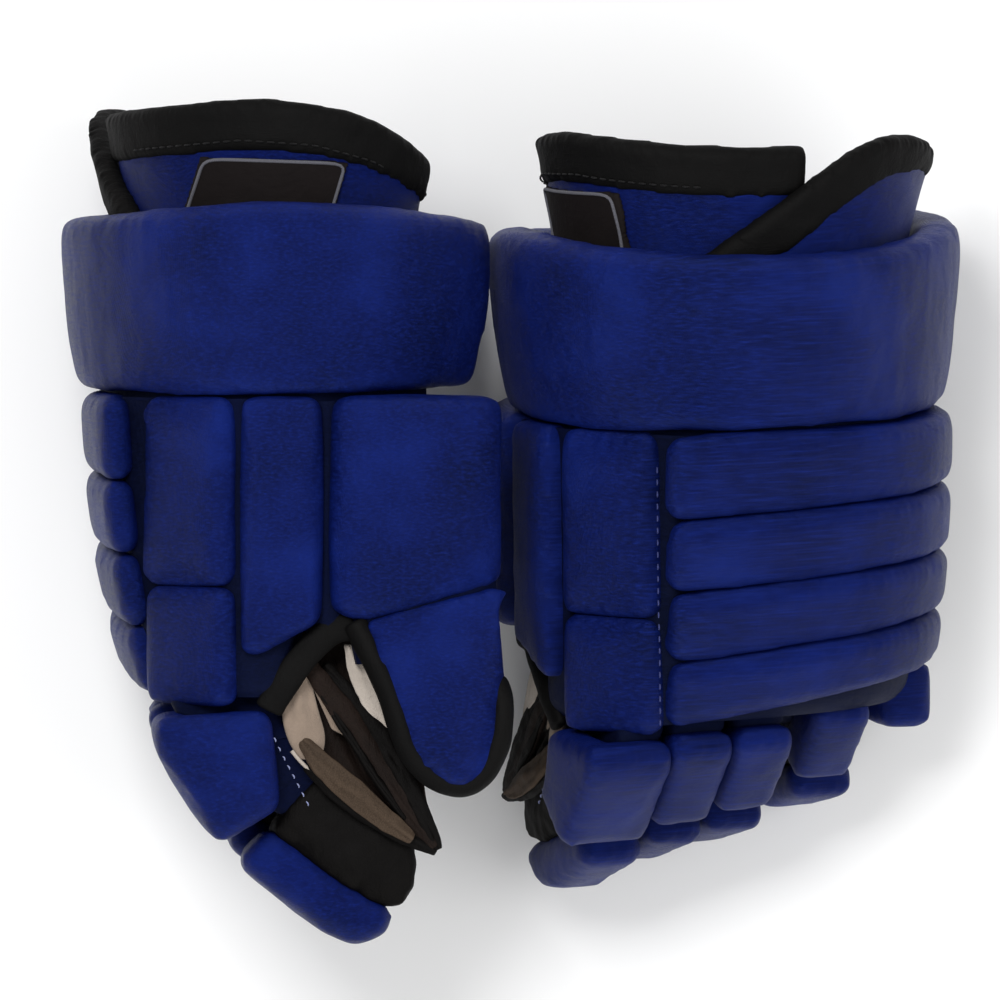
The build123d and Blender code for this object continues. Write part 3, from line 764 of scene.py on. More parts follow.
def puff(side, pads):
    """Inflates all (object, limit) pads of a glove in one cloth run, then splits them again."""
    points, faces = joined([(verts(piece), [face.vertices for face in piece.data.polygons])
                            for piece, _ in pads])
    whole = mesh_object(side + "_puff", points, faces)
    cloth = whole.modifiers.new("cloth", "CLOTH")
    settings = cloth.settings
    settings.quality = 4
    settings.mass = 0.25
    settings.tension_stiffness = 12
    settings.compression_stiffness = 12
    settings.shear_stiffness = 6
    settings.bending_stiffness = 0.6
    settings.use_pressure = True
    settings.uniform_pressure_force = 6.0
    settings.effector_weights.gravity = 0
    cloth.collision_settings.use_collision = False
    cloth.collision_settings.use_self_collision = False
    cloth.point_cache.frame_start = 1
    cloth.point_cache.frame_end = CLOTH_FRAMES
    for i in range(1, CLOTH_FRAMES + 1):
        bpy.context.scene.frame_set(i)
    graph = bpy.context.evaluated_depsgraph_get()
    puffed = read_vectors(whole.evaluated_get(graph).data.vertices, "co")
    rest = np.array(points)
    start = 0
    for piece, limit in pads:
        end = start + len(piece.data.vertices)
        move = puffed[start:end] - rest[start:end]
        length = np.linalg.norm(move, axis=1, keepdims=True) + 1e-12
        # no point moves further than the limit
        move = move / length * (limit * MM * np.tanh(length / (limit * MM)))
        set_verts(piece, rest[start:end] + move)
        grow(piece, 0.5)
        subdivide(piece)
        start = end
    bpy.data.objects.remove(whole)
    bpy.context.scene.frame_set(1)


def make_padding(side):
    """All padded pieces of a glove, by name."""
    pads = {}

    def add(name, solids, kind):
        size, growth, limit, passes = PADDING[kind]
        piece = mesh_object(f"{side}_{name}", *joined(solids))
        remesh(piece, size, passes)
        grow(piece, growth)
        pads[name] = (piece, limit)

    rolls = islands(side, "back_rolls")
    rolls.sort(key=lambda solid: glove_mean(side, solid)[1])
    for i, solid in enumerate(rolls):
        add(f"back_roll_{i + 1}", [solid], "back_roll")

    def column_order(solid):
        _, v, z = glove_mean(side, solid)
        return z < 20, v

    columns = sorted(islands(side, "side_pads"), key=column_order)
    for name, solid in zip(("index_column_upper", "index_column_lower", "web_pad"), columns):
        add(name, [solid], "side_pad")

    # the pad beside the little finger is stretched across and along the hand
    points, faces = islands(side, "little_side_pad")[0]
    points = to_glove(side, points)
    points[:, 0] = -69 + (points[:, 0] + 79) * 1.45
    points[:, 1] = 124 + (points[:, 1] - 121) * 1.2
    add("little_side_pad_soft", [(to_world(side, points), faces)], "little_side")

    add("cuff_padding", islands(side, "cuff_roll"), "cuff")
    # each flap is padded together with the solid of its own tape
    tapes = islands(side, "flap_bindings")
    for node in ("thumb_side_flap", "little_side_flap"):
        flap = islands(side, node)
        flap_x = glove_mean(side, flap[0])[0]
        near = min(tapes, key=lambda solid: abs(glove_mean(side, solid)[0] - flap_x))
        add(node + "_soft", flap + [near], "flap")
    for part in ("thumb_base", "thumb_tip"):
        add(part + "_padding", islands(side, part + "_guard"), part)
    for finger in FINGER:
        add(f"{finger}_back_pad", islands(side, f"{finger}_pad"), "pad")
        add(f"{finger}_fingertip_pad", islands(side, f"{finger}_tip_pad"), "tip_pad")
        for part in ("gusset", "tip_cup"):
            solid = hull(islands(side, f"{finger}_{part}")[0])
            add(f"{finger}_{part}_soft", [solid], part)
    puff(side, list(pads.values()))
    return {name: piece for name, (piece, _) in pads.items()}


def dress_padding(side, pads):
    def dress(name, mat, body, node, *crumples):
        """Each crumple is (amount, scale, seed) and perhaps a stretch."""
        for settings in crumples:
            crumple(pads[name], side, *settings)
        finish(pads[name], side, mat, body, replaces=node)

    for i in range(BACK_ROLLS):
        dress(f"back_roll_{i + 1}", "nylon", "hand", "back_rolls" if i == 0 else None,
              (0.55, 0.035, 3.1 + i, (1, 0.6, 1)))
    dress("index_column_upper", "nylon", "hand", "side_pads", (0.5, 0.04, 11.0))
    dress("index_column_lower", "nylon", "hand", None, (0.5, 0.04, 12.0))
    dress("web_pad", "nylon", "hand", None, (0.5, 0.04, 13.0))
    dress("little_side_pad_soft", "nylon", "hand", "little_side_pad")
    dress("cuff_padding", "nylon", "cuff", "cuff_roll",
          (1.6, 0.016, 5.0), (0.35, 0.09, 9.0, (1, 0.4, 1)))
    for node in ("thumb_side_flap", "little_side_flap"):
        dress(node + "_soft", "nylon", "cuff", node, (0.5, 0.03, 6.0))
    dress("thumb_base_padding", "nylon", "thumb_base", "thumb_base_guard", (0.8, 0.025, 8.0))
    dress("thumb_tip_padding", "nylon", "thumb_tip", "thumb_tip_guard", (0.6, 0.03, 9.0))
    for i, finger in enumerate(FINGER):
        base, tip = finger + "_base", finger + "_tip"
        dress(f"{finger}_back_pad", "nylon", base, f"{finger}_pad", (0.45, 0.05, 20.0 + i))
        dress(f"{finger}_fingertip_pad", "nylon", tip, f"{finger}_tip_pad",
              (0.5, 0.05, 30.0 + i))
        dress(f"{finger}_gusset_soft", "shade", base, f"{finger}_gusset",
              (0.8, 0.06, 40.0 + i))
        dress(f"{finger}_tip_cup_soft", "leather", tip, f"{finger}_tip_cup",
              (1.3, 0.06, 50.0 + i), (0.5, 0.18, 55.0 + i))


# ------------------------------------------------------------------ cuff details
CUFF_X = 3.0  # middle of the wrist and cuff
# thumb side of the cuff, an ellipse at each v: (v, half width in x, half height in z)
CUFF_RING = np.array([(-121.0, 79.5, 73.5), (-80.0, 71.6, 63.4), (-2.0, 64.2, 56.2)])
# cuff-side edge of the thumb-side flap: (v, z)
FLAP_EDGE = np.array([(-60, -82), (-82, -70), (-99, -54), (-110, -35),
                      (-116.5, -10), (-118.5, 20), (-116, 50), (-112, 92)], float)
LABEL_CORNERS = [(-70.0, 42.5), (-96.0, 34.5), (-94.0, -23.0), (-70.0, -16.0)]  # (v, z)
LEFT_LABEL_TOP = 35.0  # z of the left label's first corner
LABEL_BEND_Z = -10.0   # the left label is reshaped above this z


def on_cuff(v, z, growth=0.0):
    """Point of the cuff's thumb side at (v, z)."""
    half_x = np.interp(v, CUFF_RING[:, 0], CUFF_RING[:, 1]) + growth
    half_z = np.interp(v, CUFF_RING[:, 0], CUFF_RING[:, 2]) + growth
    return (CUFF_X + half_x * math.sqrt(max(0.0, 1 - (z / half_z) ** 2)), v, z)


def flap_edge_v(z):
    return np.interp(z, FLAP_EDGE[:, 1], FLAP_EDGE[:, 0])


def flap_tapes(side):
    """Tape folded over the flap edges."""
    for i, solid in enumerate(islands(side, "flap_bindings")):
        piece = mesh_object(f"{side}_flap_tape_{i + 1}", *solid)
        remesh(piece, 2.0, passes=4)
        points = to_glove(side, verts(piece))
        if points[:, 0].mean() > 20:
            # on the thumb side the inner edge of the tape reaches further over the flap
            points[:, 1] += 4.0 * smoothstep((points[:, 1] - flap_edge_v(points[:, 2]) - 5) / 8)
            set_verts(piece, to_world(side, points))
        grow(piece, 1.9)
        crumple(piece, side, amount=0.5, scale=0.07, seed=60.0 + i)
        subdivide(piece)
        finish(piece, side, "tape", "cuff", replaces="flap_bindings" if i == 0 else None)


def label(side):
    """Blank label with a corded border on three sides."""
    piece = mesh_object(side + "_label_cloth", *islands(side, "label_patch")[0])
    remesh(piece, 0.9, passes=2)
    grow(piece, 0.7)
    corners = list(LABEL_CORNERS)
    if side == "left":
        # the patch of this glove sits squarer, its upper edge nearly level
        corners[0] = (corners[0][0], LEFT_LABEL_TOP)
        points = to_glove(side, verts(piece))
        for i, (_, v, z) in enumerate(points):
            top = 34.5 + 8.0 * min(1.2, max(0.0, (v + 96) / 26))
            if z > LABEL_BEND_Z:
                squeezed = LABEL_BEND_Z + ((z - LABEL_BEND_Z) * (LEFT_LABEL_TOP - LABEL_BEND_Z)
                                           / (top - LABEL_BEND_Z))
                points[i] += np.array(on_cuff(v, squeezed)) - np.array(on_cuff(v, z))
        set_verts(piece, to_world(side, points))
    finish(piece, side, "label", "cuff", replaces="label_patch")

    border = []
    for start, end in zip(corners, corners[1:]):
        start, end = np.array(start), np.array(end)
        for part in (0.06, 0.2, 0.35, 0.5, 0.65, 0.8, 0.94):
            border.append(on_cuff(*(start + (end - start) * part), growth=2.0))
    piece = tube(side, "label_piping", border, radius=0.8, sides=8)
    subdivide(piece)
    finish(piece, side, "piping", "cuff")


# ------------------------------------------------------------------ thumb tapes
THUMB_TAPE = [(87, 92.0, -25.5), (89.2, 108, -33.6), (89, 120, -39.5), (89, 130, -42.5),
              (88.5, 143, -47), (87, 154, -54.5), (85.5, 160, -66), (85, 158, -76),
              (85, 148, -83.0), (85, 135, -86.0), (84.2, 125, -86.2), (79.5, 118, -84.0)]
CROTCH_TAPE = [(84, 129, 9.5), (85.5, 118, 3.5), (86.5, 108, -4.0), (86.5, 100, -11.0),
               (85.5, 95.5, -18.0), (86, 93.5, -26.0)]


def thumb_tapes(side):
    """Tape round the thumb tip, and down the hand's side of the thumb crotch."""
    line = smooth_path(THUMB_TAPE, 2.4)
    path = thumb(side, line, tip=True)
    beside = thumb(side, line + np.array([1.0, 0, 0]), tip=True)
    piece = tube(side, "thumb_tape", path, radius=5.5, sides=14, flat=1.5, up=beside - path)
    crumple(piece, side, amount=0.6, scale=0.08, seed=66.0)
    subdivide(piece)
    finish(piece, side, "tape", "thumb_tip", replaces="thumb_binding")
    piece = tube(side, "crotch_tape", smooth_path(CROTCH_TAPE, 2.2), radius=6.2, sides=12,
                 flat=0.5)
    crumple(piece, side, amount=0.7, scale=0.08, seed=67.0)
    subdivide(piece)
    finish(piece, side, "tape", "hand")


# ------------------------------------------------------------------ hand and palm
# height of the back rolls' surface along the middle of the hand
BACK_V = [0, 3, 37, 68, 99, 128, 140]
BACK_Z = [82.5, 82, 79.8, 76.2, 70.2, 62, 59]


def core_ring(v, inset=0.0):
    """Section of the cloth hand under the pads, drawn in by inset towards its middle."""
    part = (v - 3.0) / 118.0
    z = np.interp(v, BACK_V, BACK_Z) - 8.5

    def between(cuff_end, finger_end):
        return tuple(start + (end - start) * part for start, end in zip(cuff_end, finger_end))

    points = [
        between((62, -17), (58, -3.5)), between((75, -12.5), (72, -3)),
        between((86.5, -7), (84, 1)), between((88, 6), (87.5, 8)),
        between((86.5, 17), (86.5, 16)), between((85.5, 24), (85.0, 22)),
        (70.5, 42.5), (57.5, 57.0), (50, z - 3.8), (27, z), (0, z + 0.3), (-30, z - 2.6),
        (-53, z - 11), between((-69, z - 27), (-66, z - 24)),
        between((-76, z - 43), (-71, z - 38)), between((-79, z - 57), (-72, z - 48)),
        between((-76, 2), (-69, 3)), between((-67, -13), (-60, -3)),
        between((-52, -17), (-50, -4)), between((0, -17.5), (0, -4)),
        between((35, -17.5), (32, -4)),
    ]
    middle = np.mean(points, axis=0)
    return [(x + (middle[0] - x) * inset, v, z + (middle[1] - z) * inset) for x, z in points]


def cloth_hand(side):
    """Cloth under the pads, its lining, and the wall that closes it at the fingers."""
    rings = [core_ring(v) for v in (1.5, 6, 20, 37, 53, 68, 84, 99, 112, 119)]
    rings.append(core_ring(123, inset=0.06))
    piece = loft(side, "cloth_hand", rings, thick=1.6, levels=2)
    finish(piece, side, "shade", "hand", replaces="hand_shell")

    rings = [core_ring(v, inset=0.12) for v in (2.5, 20, 53, 84, 112, 121)]
    piece = loft(side, "hand_lining", rings, thick=1.4)
    crumple(piece, side, amount=0.8, scale=0.05, seed=70.0)
    finish(piece, side, "liner", "hand", replaces="liner")

    rim = [np.array(point) for point in core_ring(122.5, inset=0.04)]
    middle = np.mean(rim, axis=0)
    rings = [rim]
    for size, dip in ((0.55, -1.5), (0.2, -2.0)):
        rings.append([middle + (point - middle) * size + np.array([0, dip, 0]) for point in rim])
    piece = loft(side, "hand_front", rings, thick=1.4, end_cap=True)
    finish(piece, side, "shade", "hand")


# (x, v) along the two long edges of the palm overlay
OVERLAY_EDGES = (((46, 8), (50, 30), (48, 60), (38, 78)),
                 ((-46, 8), (-50, 32), (-46, 64), (-30, 84)))


def palm(side):
    """Palm leather with its overlay and the overlay's stitching."""
    piece = mesh_object(side + "_palm_leather_sheet", *islands(side, "palm")[0])
    remesh(piece, 1.5, passes=2)
    grow(piece, 0.5)
    crumple(piece, side, amount=1.1, scale=0.03, seed=71.0, stretch=(1, 0.6, 1))
    crumple(piece, side, amount=0.45, scale=0.11, seed=72.0, stretch=(0.6, 1, 1))
    finish(piece, side, "leather", "hand", replaces="palm")

    edges = [[(x, v, -19.6 + 14.0 * (v - 1.5) / 119.5) for x, v in edge]
             for edge in OVERLAY_EDGES]
    piece = ribbon(side, "palm_overlay", *edges, across=26, step=3.0, bulge=-1.0, thick=1.5,
                   wrinkle=1.0, seed=4.0, bow=(0, 0, 1))
    finish(piece, side, "brown", "hand")
    for i, (edge, inward) in enumerate(zip(edges, (-2.5, 2.5))):
        row = np.array(edge) + np.array([inward, 0, -1.2])
        piece = stitches(side, f"palm_stitches_{i + 1}", row, up=(0, 0, -1),
                         length=3.0, gap=1.9, radius=0.5, lift=0.3)
        finish(piece, side, "blackthread", "hand")


# ------------------------------------------------------------------ wrist
# open rings: (v, half width in x, half height in z), and for the lining a shift in z
WRIST_CLOTH = ((12, 78, 70), (6, 82, 73), (1.6, 82.5, 74), (-3, 82.5, 74), (-12, 79, 71))
WRIST_LINING = ((26, 66, 53, -2), (12, 68, 55, -1), (0, 70, 57, 0), (-12, 69.5, 59, 0),
                (-40, 68.5, 59.5, 0), (-70, 68, 59.5, 0))


def wrist(side):
    """Cloth round the outside of the wrist, lining inside; both stay open at the palm."""
    angles = np.linspace(-0.28 * math.pi, 1.28 * math.pi, 40)
    rings = [[(CUFF_X + half_x * math.cos(angle), v, half_z * math.sin(angle))
              for angle in angles] for v, half_x, half_z in WRIST_CLOTH]
    piece = loft(side, "wrist_cloth", rings, thick=1.6, closed=False)
    finish(piece, side, "shade", blend=("hand", "cuff", (0, 4, 0), (0, -6, 0)))

    angles = np.linspace(-0.2 * math.pi, 1.2 * math.pi, 44)
    rings = []
    for v, half_x, half_z, shift in WRIST_LINING:
        ring = []
        for angle in angles:
            # inside the hand the palm side is flatter
            flat = 0.55 if math.sin(angle) < 0 and v > 5 else 1.0
            ring.append((CUFF_X + half_x * math.cos(angle), v,
                         half_z * math.sin(angle) * flat + shift))
        rings.append(ring)
    piece = loft(side, "wrist_lining", rings, thick=1.8, closed=False)
    crumple(piece, side, amount=1.0, scale=0.05, seed=73.0)
    finish(piece, side, "liner", blend=("hand", "cuff", (0, 8, 0), (0, -14, 0)))


# ------------------------------------------------------------------ thumb cloth and leather
WEB_ARC = ((74, -2), (83, -8), (87.5, -13), (87.5, -17), (84, -22), (76, -27))  # (x, z)
THUMB_SECTION = ((91, -22), (93, -40), (91, -64), (86, -81), (78, -87),
                 (72, -81), (71, -58), (72, -36), (76, -22))  # (x, z)
THUMB_MIDDLE = np.array([81.5, -53.0])  # (x, z)


def thumb_section(v, size):
    mid_x, mid_z = THUMB_MIDDLE
    return [(mid_x + (x - mid_x) * size, v + (z + 55) * 0.12, mid_z + (z - mid_z) * size)
            for x, z in THUMB_SECTION]


def thumb_cloth(side):
    """Cloth between hand and thumb, and round the thumb at its bend."""
    rings = []
    for v in (2.5, 20, 45, 70, 88, 97):
        ring = []
        for x, z in WEB_ARC:
            point = np.array([x, v, z], float)
            follow = min(1.0, max(0.0, (-8 - z) / 12.0))
            ring.append(point * (1 - follow) + thumb(side, point)[0] * follow)
        rings.append(ring)
    piece = loft(side, "thumb_web_cloth", rings, thick=1.6, closed=False)
    finish(piece, side, "shade", blend=("hand", "thumb_base", (80, 50, -9), (80, 50, -19)))

    rings = [thumb(side, thumb_section(v, size)) for v, size in ((60, 0.88), (74, 0.95))]
    bend = thumb_section(84, 0.97)
    rings.append(0.5 * (thumb(side, bend) + thumb(side, bend, tip=True)))
    rings += [thumb(side, thumb_section(v, size), tip=True)
              for v, size in ((94, 0.95), (106, 0.86))]
    piece = loft(side, "thumb_knuckle_cloth", rings, thick=1.2, levels=2)
    finish(piece, side, "shade", blend=("thumb_base", "thumb_tip",
                                        thumb(side, (81.5, 76, -58))[0],
                                        thumb(side, (81.5, 96, -58), tip=True)[0]))


def thumb_leather(side):
    piece = ribbon(side, "thumb_palm_leather",
                   [(65.2, 5, -32), (65.2, 40, -30), (66.6, 78, -30)],
                   [(66.4, 5, -78), (66.0, 40, -82), (68.2, 70, -83)],
                   across=14, step=3.0, bulge=-1.5, thick=1.5, wrinkle=1.2, seed=5.0,
                   place=lambda points: thumb(side, points))
    finish(piece, side, "leather", "thumb_base")
    piece = ribbon(side, "thumb_tip_leather",
                   [(71.6, 90, -36), (71.6, 120, -41), (72.0, 145, -51), (73.0, 156, -64)],
                   [(71.6, 80, -82), (71.6, 112, -84), (72.0, 140, -83), (73.0, 155, -75)],
                   across=12, step=3.0, bulge=-1.2, thick=1.5, wrinkle=1.0, seed=6.0,
                   place=lambda points: thumb(side, points, tip=True))
    finish(piece, side, "leather", "thumb_tip")


# ------------------------------------------------------------------ thumb crotch
CROTCH_BLEND = ("hand", "index_base", (74, 118, 2), (74, 146, -14))
# name, material, two edges, ribbon settings
CROTCH_SHEETS = (
    ("leather", "brown",
     [(72, 92, 2), (74.5, 108, 4), (75, 122, 4), (75, 138, -3), (74.5, 153, -14),
      (73.5, 166, -30), (72.5, 178, -47)],
     [(68, 88, -32), (66, 104, -40), (65, 122, -45), (66, 138, -51), (68, 152, -55),
      (70, 166, -56), (72, 181, -60)],
     dict(across=22, step=2.2, bulge=-3.0, thick=1.6, wrinkle=3.4, seed=7.0)),
    ("suede", "beige",
     [(78, 111, -3), (78.8, 120, 3.0), (79, 130, 4.0), (78.6, 141, 1.5), (77.8, 149, -4.0)],
     [(77, 111, -8), (77.5, 121, -9.5), (77.5, 131, -12.0), (77, 140, -15.0),
      (76.5, 150, -12.5)],
     dict(across=10, step=2.0, bulge=1.8, thick=1.6, wrinkle=1.8, seed=8.0)),
    ("suede_flap", "beige",
     [(76.5, 119, -9.0), (77, 126, -12.0), (76.5, 137, -17.0)],
     [(75.5, 119, -12.0), (76, 128, -18.5), (75.5, 140, -22.5)],
     dict(across=5, step=2.0, bulge=0.6, thick=1.2, wrinkle=0.8, seed=9.0)),
    ("lining", "cream",
     [(78.4, 102, -22.0), (79.0, 111, -22.8), (78.8, 122, -26.5), (77.6, 136, -34.5),
      (76.0, 151, -44.8)],
     [(78.0, 102, -25.5), (78.6, 110, -32.0), (78.4, 122, -38.8), (77.2, 136, -43.8),
      (75.6, 151, -47.6)],
     dict(across=10, step=1.6, bulge=1.2, thick=1.2, wrinkle=1.4, seed=10.0, fray=0.9)),
)
# tag, material, middle line, half width, thickness, seed
CROTCH_STRIPS = (
    ("a", "brown", [(78.5, 106, -5.5), (79.5, 114, -10), (78.6, 130, -22), (77.6, 151, -35.0),
                    (77.0, 168, -46), (75.5, 186, -59)], 5.4, 2.2, 11.0),
    ("b", "leather", [(76.0, 110, -14), (77.0, 130, -30), (77.6, 146, -41), (77.4, 162, -49),
                      (76.4, 176, -56), (74.5, 187, -61)], 4.2, 2.4, 12.0),
    ("c", "olive", [(79.0, 141, -4.5), (80.4, 148, -10), (81.0, 156, -18), (80.8, 165, -28.0),
                    (79.8, 174, -39), (78.4, 182, -50)], 5.6, 1.8, 13.0),
    ("d", "leather", [(77.6, 152, -6), (78.0, 160, -15), (77.6, 170, -28), (76.4, 180, -45),
                      (75.4, 188, -60)], 3.8, 1.8, 14.0),
    ("e", "leather", [(78.6, 122, -12), (79.0, 132, -19), (79.0, 146, -28), (78.6, 160, -37),
                      (77.0, 174, -47)], 1.7, 1.6, 15.0),
)
CROTCH_CORD = [(79.3, 145.5, -0.5), (79.4, 149.5, -3.6), (79.0, 155, -9.5), (78.0, 161, -17.0)]
INDEX_STITCHES = [(84.2, 136, 9.0), (84.4, 146, 4.4), (84.2, 157, -1.4), (83.4, 168, -7.0)]


def crotch(side):
    """Leather web, suede patches, torn lining, folded leather strips, cord and stitches."""
    def place(points):
        return curled(side, points)

    for name, mat, edge_a, edge_b, settings in CROTCH_SHEETS:
        piece = ribbon(side, "crotch_" + name, edge_a, edge_b, place=place, **settings)
        finish(piece, side, mat, blend=CROTCH_BLEND)
    for tag, mat, line, half_width, thick, seed in CROTCH_STRIPS:
        path = smooth_path(line, 2.0)
        along = np.gradient(path, axis=0)
        along /= np.linalg.norm(along, axis=1, keepdims=True)
        across = np.cross(along, np.array([1.0, 0, 0]))
        across /= np.linalg.norm(across, axis=1, keepdims=True)
        swell = np.sqrt(np.sin(np.linspace(0.03, math.pi - 0.03, len(path))))
        taper = (0.12 + 0.88 * swell)[:, None] * half_width
        piece = ribbon(side, "crotch_strip_" + tag, path + across * taper,
                       path - across * taper, across=8, step=2.0, bulge=1.4, thick=thick,
                       wrinkle=1.8, seed=seed, place=place)
        crumple(piece, side, amount=0.5, scale=0.12, seed=seed)
        finish(piece, side, mat, blend=CROTCH_BLEND)
    piece = tube(side, "crotch_piping", place(smooth_path(CROTCH_CORD, 1.6)), radius=0.8,
                 sides=8)
    finish(piece, side, "cream", blend=CROTCH_BLEND)
    piece = stitches(side, "index_stitches", place(smooth_path(INDEX_STITCHES, 1.0)),
                     up=(0.6, 0, -0.8), length=2.0, gap=2.2, radius=0.32, lift=0.5)
    finish(piece, side, "thread", "index_base")


# ------------------------------------------------------------------ fingers
PALM_Z = 3.0           # palm side of the finger roots
PAD_START = 0.8        # finger pads start this far past the knuckle
KNUCKLE_LEAN = math.tan(math.radians(3.5))
SLEEVE_THUMB_X = {"index": 72.8, "little": -5.5}  # where not 1.2 inside the pad's thumb side


def finger_plan(side, finger):
    """Lines of a resting finger in (v, z). Along and out are the directions of its base and
    tip; fold is the palm end of the fingertip fold, which rises along fold_up."""
    spec = FINGER[finger]
    first, second = spec.curl[side]
    along, out = [], []
    for angle in (math.radians(first), math.radians(first + second)):
        along.append(np.array([math.cos(angle), -math.sin(angle)]))
        out.append(np.array([math.sin(angle), math.cos(angle)]))
    lean = (spec.knuckle_z - PALM_Z) * KNUCKLE_LEAN
    pad_corner = np.array([spec.knuckle_v + PAD_START + lean, spec.knuckle_z])
    pad_end = pad_corner + spec.length * along[0] - spec.depth * out[0]
    fold_up = (out[0] + out[1]) / np.linalg.norm(out[0] + out[1])
    fold_height = 54.0 * (0.86 + 0.14 * spec.size) - spec.depth
    return SimpleNamespace(spec=spec, along=along, out=out, fold_up=fold_up,
                           fold=pad_end - fold_height * fold_up, fold_height=fold_height,
                           slope=math.tan(math.radians(first)),
                           mid_x=(spec.thumb_x + spec.little_x) / 2)


def knuckle_sleeve(side, finger, plan, seed):
    spec, knuckle_v = plan.spec, plan.spec.knuckle_v
    thumb_x = SLEEVE_THUMB_X.get(finger, spec.thumb_x - 1.2)
    top = spec.knuckle_z - 9.0
    under_pad = spec.knuckle_z - spec.depth
    rings = []
    # distance past the knuckle, height of the top
    for past, high in ((-9, top), (-3, top), (1.5, top - 3), (6, under_pad - 3.5),
                       (13, under_pad - 6.5)):
        low = PALM_Z + 1.2 - max(0.0, past) * plan.slope
        high = high - max(0.0, past - 6) * plan.slope * 0.6
        section = rounded(spec.little_x + 1.2, thumb_x, low, high, radius=5.0)
        rings.append([(x, knuckle_v + past + (z - PALM_Z) * 0.06 * (past > -4), z)
                      for x, z in section])
    piece = loft(side, f"{finger}_knuckle_sleeve", rings, thick=1.4)
    crumple(piece, side, amount=0.6, scale=0.09, seed=seed)
    finish(piece, side, "shade", blend=("hand", finger + "_base",
                                        (plan.mid_x, knuckle_v - 5, 20),
                                        (plan.mid_x, knuckle_v + 6, 18)))


def tip_sleeve(side, finger, plan):
    spec, (base_dir, tip_dir) = plan.spec, plan.along
    fold_x = (max(spec.little_x, spec.tip_little_x) + 2.2,
              min(spec.thumb_x, spec.tip_thumb_x) - 2.2)
    # distance past the fold, direction, (little-side x, thumb-side x)
    stations = ((-10, base_dir, (spec.little_x + 2.6, spec.thumb_x - 2.6)),
                (-3, base_dir, (spec.little_x + 2.4, spec.thumb_x - 2.4)),
                (1.5, tip_dir, fold_x),
                (9, tip_dir, (spec.tip_little_x + 3.4, spec.tip_thumb_x - 3.4)))
    rings = []
    for past, direction, (little_x, thumb_x) in stations:
        high = plan.fold_height - 1.4 + (2.5 if abs(past) < 4 else -2.0)
        rings.append([(x, *(plan.fold + plan.fold_up * height + direction * past))
                      for x, height in rounded(little_x, thumb_x, 2.4, high, radius=4.0)])
    piece = loft(side, f"{finger}_tip_sleeve", rings, thick=1.2)
    start = plan.fold + plan.fold_up * 8 - base_dir * 6
    end = plan.fold + plan.fold_up * 8 + tip_dir * 6
    finish(piece, side, "shade", blend=(finger + "_base", finger + "_tip",
                                        (plan.mid_x, *start), (plan.mid_x, *end)))


def finger_leather(side, finger, plan, seed):
    """Leather on the palm side, from the palm to the fingertip fold."""
    spec, knuckle_v, fold = plan.spec, plan.spec.knuckle_v, plan.fold
    along, out = plan.along, plan.out
    start = np.array([knuckle_v + PAD_START, PALM_Z])
    line = [(knuckle_v - 16, -3.2), (knuckle_v - 5, -0.6),
            start + along[0] * 3 - out[0] * 1.6,
            start + (fold - start) * 0.55 - out[0] * 1.8,
            fold - out[0] * 1.4,
            fold + along[1] * 6 + out[1] * 0.6]
    edges = [[(x, v, z) for v, z in line] for x in (spec.thumb_x - 0.8, spec.little_x + 0.8)]
    piece = ribbon(side, f"{finger}_palm_leather", *edges, across=10, step=2.2, bulge=-1.2,
                   thick=1.5, wrinkle=1.0, seed=seed, bow=(0, 0.2, 1))
    finish(piece, side, "leather", blend=("hand", finger + "_base",
                                          (plan.mid_x, knuckle_v - 5, 0),
                                          (plan.mid_x, knuckle_v + 6, -2)))


# ------------------------------------------------------------------ stitching on the back
VALLEY = [(61.6, 14, 62.6), (61.6, 74, 62.6), (60.9, 84, 62.2), (60.9, 122, 62.2)]


def valley_stitches(side):
    """Stitching in the valley between the index column and the back rolls."""
    piece = stitches(side, "valley_stitches", smooth_path(VALLEY, 1.0), up=(0.2, 0, 0.98),
                     length=2.4, gap=2.6, radius=0.36, lift=1.3)
    finish(piece, side, "palethread", "hand")


def flap_stitches(side):
    """Stitching beside the tape of the thumb-side flap."""
    row = [on_cuff(flap_edge_v(z) + 15.0, z, growth=2.6) for z in np.linspace(62, -40, 30)]
    piece = stitches(side, "flap_stitches", smooth_path(row, 1.0, rounds=1), up=(1, 0, 0.2),
                     length=3.0, gap=1.6, radius=0.4, lift=0.2)
    finish(piece, side, "blackthread", "cuff")


def build(side):
    dress_padding(side, make_padding(side))
    flap_tapes(side)
    label(side)
    thumb_tapes(side)
    cloth_hand(side)
    palm(side)
    wrist(side)
    thumb_cloth(side)
    thumb_leather(side)
    crotch(side)
    for i, finger in enumerate(FINGER):
        plan = finger_plan(side, finger)
        knuckle_sleeve(side, finger, plan, seed=80.0 + i)
        tip_sleeve(side, finger, plan)
        finger_leather(side, finger, plan, seed=90.0 + i)
    if side == "left":
        valley_stitches(side)
    flap_stitches(side)


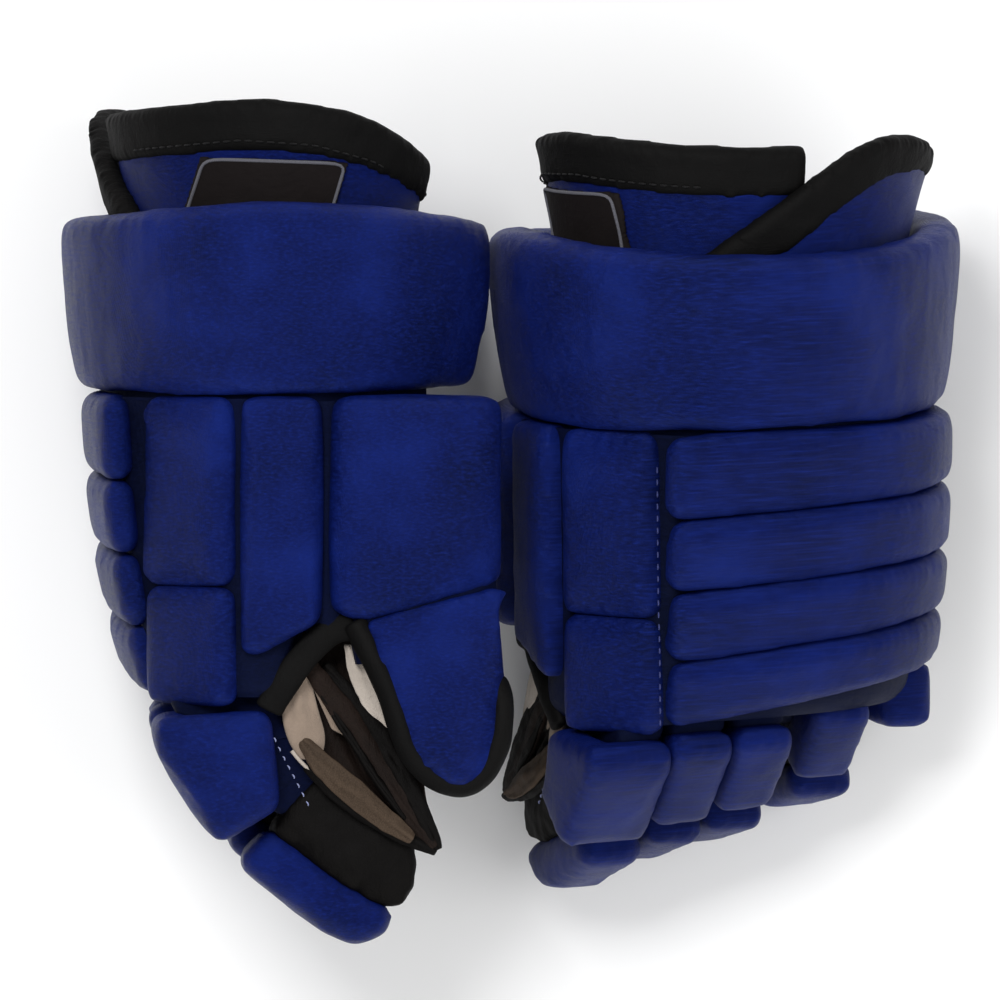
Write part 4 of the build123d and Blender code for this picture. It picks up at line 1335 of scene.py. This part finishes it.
for side in SIDES:
    build(side)


# ------------------------------------------------------------------ floor, light, camera (m)
def floor(half=3):
    corners = [(-half, -half, 0), (half, -half, 0), (half, half, 0), (-half, half, 0)]
    piece = mesh_object("floor", corners, [(0, 1, 2, 3)])
    material = bpy.data.materials.new("floor")
    material.use_nodes = True
    bsdf = material.node_tree.nodes["Principled BSDF"]
    bsdf.inputs["Base Color"].default_value = (0.93, 0.93, 0.93, 1)
    bsdf.inputs["Roughness"].default_value = 0.9
    piece.data.materials.append(material)


def studio_world(strength):
    world = bpy.data.worlds.new("studio")
    bpy.context.scene.world = world
    world.use_nodes = True
    background = world.node_tree.nodes["Background"]
    background.inputs[0].default_value = WHITE
    background.inputs[1].default_value = strength


def area_light(name, place, aim, size, power):
    light = bpy.data.lights.new(name, "AREA")
    light.size = size
    light.energy = power
    holder = bpy.data.objects.new(name, light)
    holder.location = place
    toward = Vector(aim) - Vector(place)
    holder.rotation_euler = toward.to_track_quat("-Z", "Y").to_euler()
    bpy.context.scene.collection.objects.link(holder)


def overhead_camera(height, half_view, view_height, offset):
    """Looks straight down and sees half_view to each side at view_height; offset is (x, y)
    from the right glove's origin."""
    lens = bpy.data.cameras.new("camera")
    lens.sensor_width = 36
    lens.angle = 2 * math.atan(half_view / (height - view_height))
    camera = bpy.data.objects.new("camera", lens)
    origin = GLOVE["right"][1]
    camera.location = (origin[0] + offset[0], origin[1] + offset[1], height)
    camera.rotation_euler = (0, 0, 0)
    bpy.context.scene.collection.objects.link(camera)
    bpy.context.scene.camera = camera


floor()
studio_world(strength=0.5)
area_light("key", place=(-0.35, 0.55, 1.5), aim=(0, 0, 0.08), size=0.5, power=16)
area_light("fill", place=(0.9, -0.2, 1.2), aim=(0, 0, 0.1), size=0.9, power=6)
area_light("front", place=(0.0, -0.9, 1.0), aim=(0, 0, 0.1), size=0.9, power=4)
overhead_camera(height=3.0, half_view=0.21, view_height=0.085, offset=(0.0925, -0.046))
bpy.context.scene.view_settings.view_transform = "Standard"
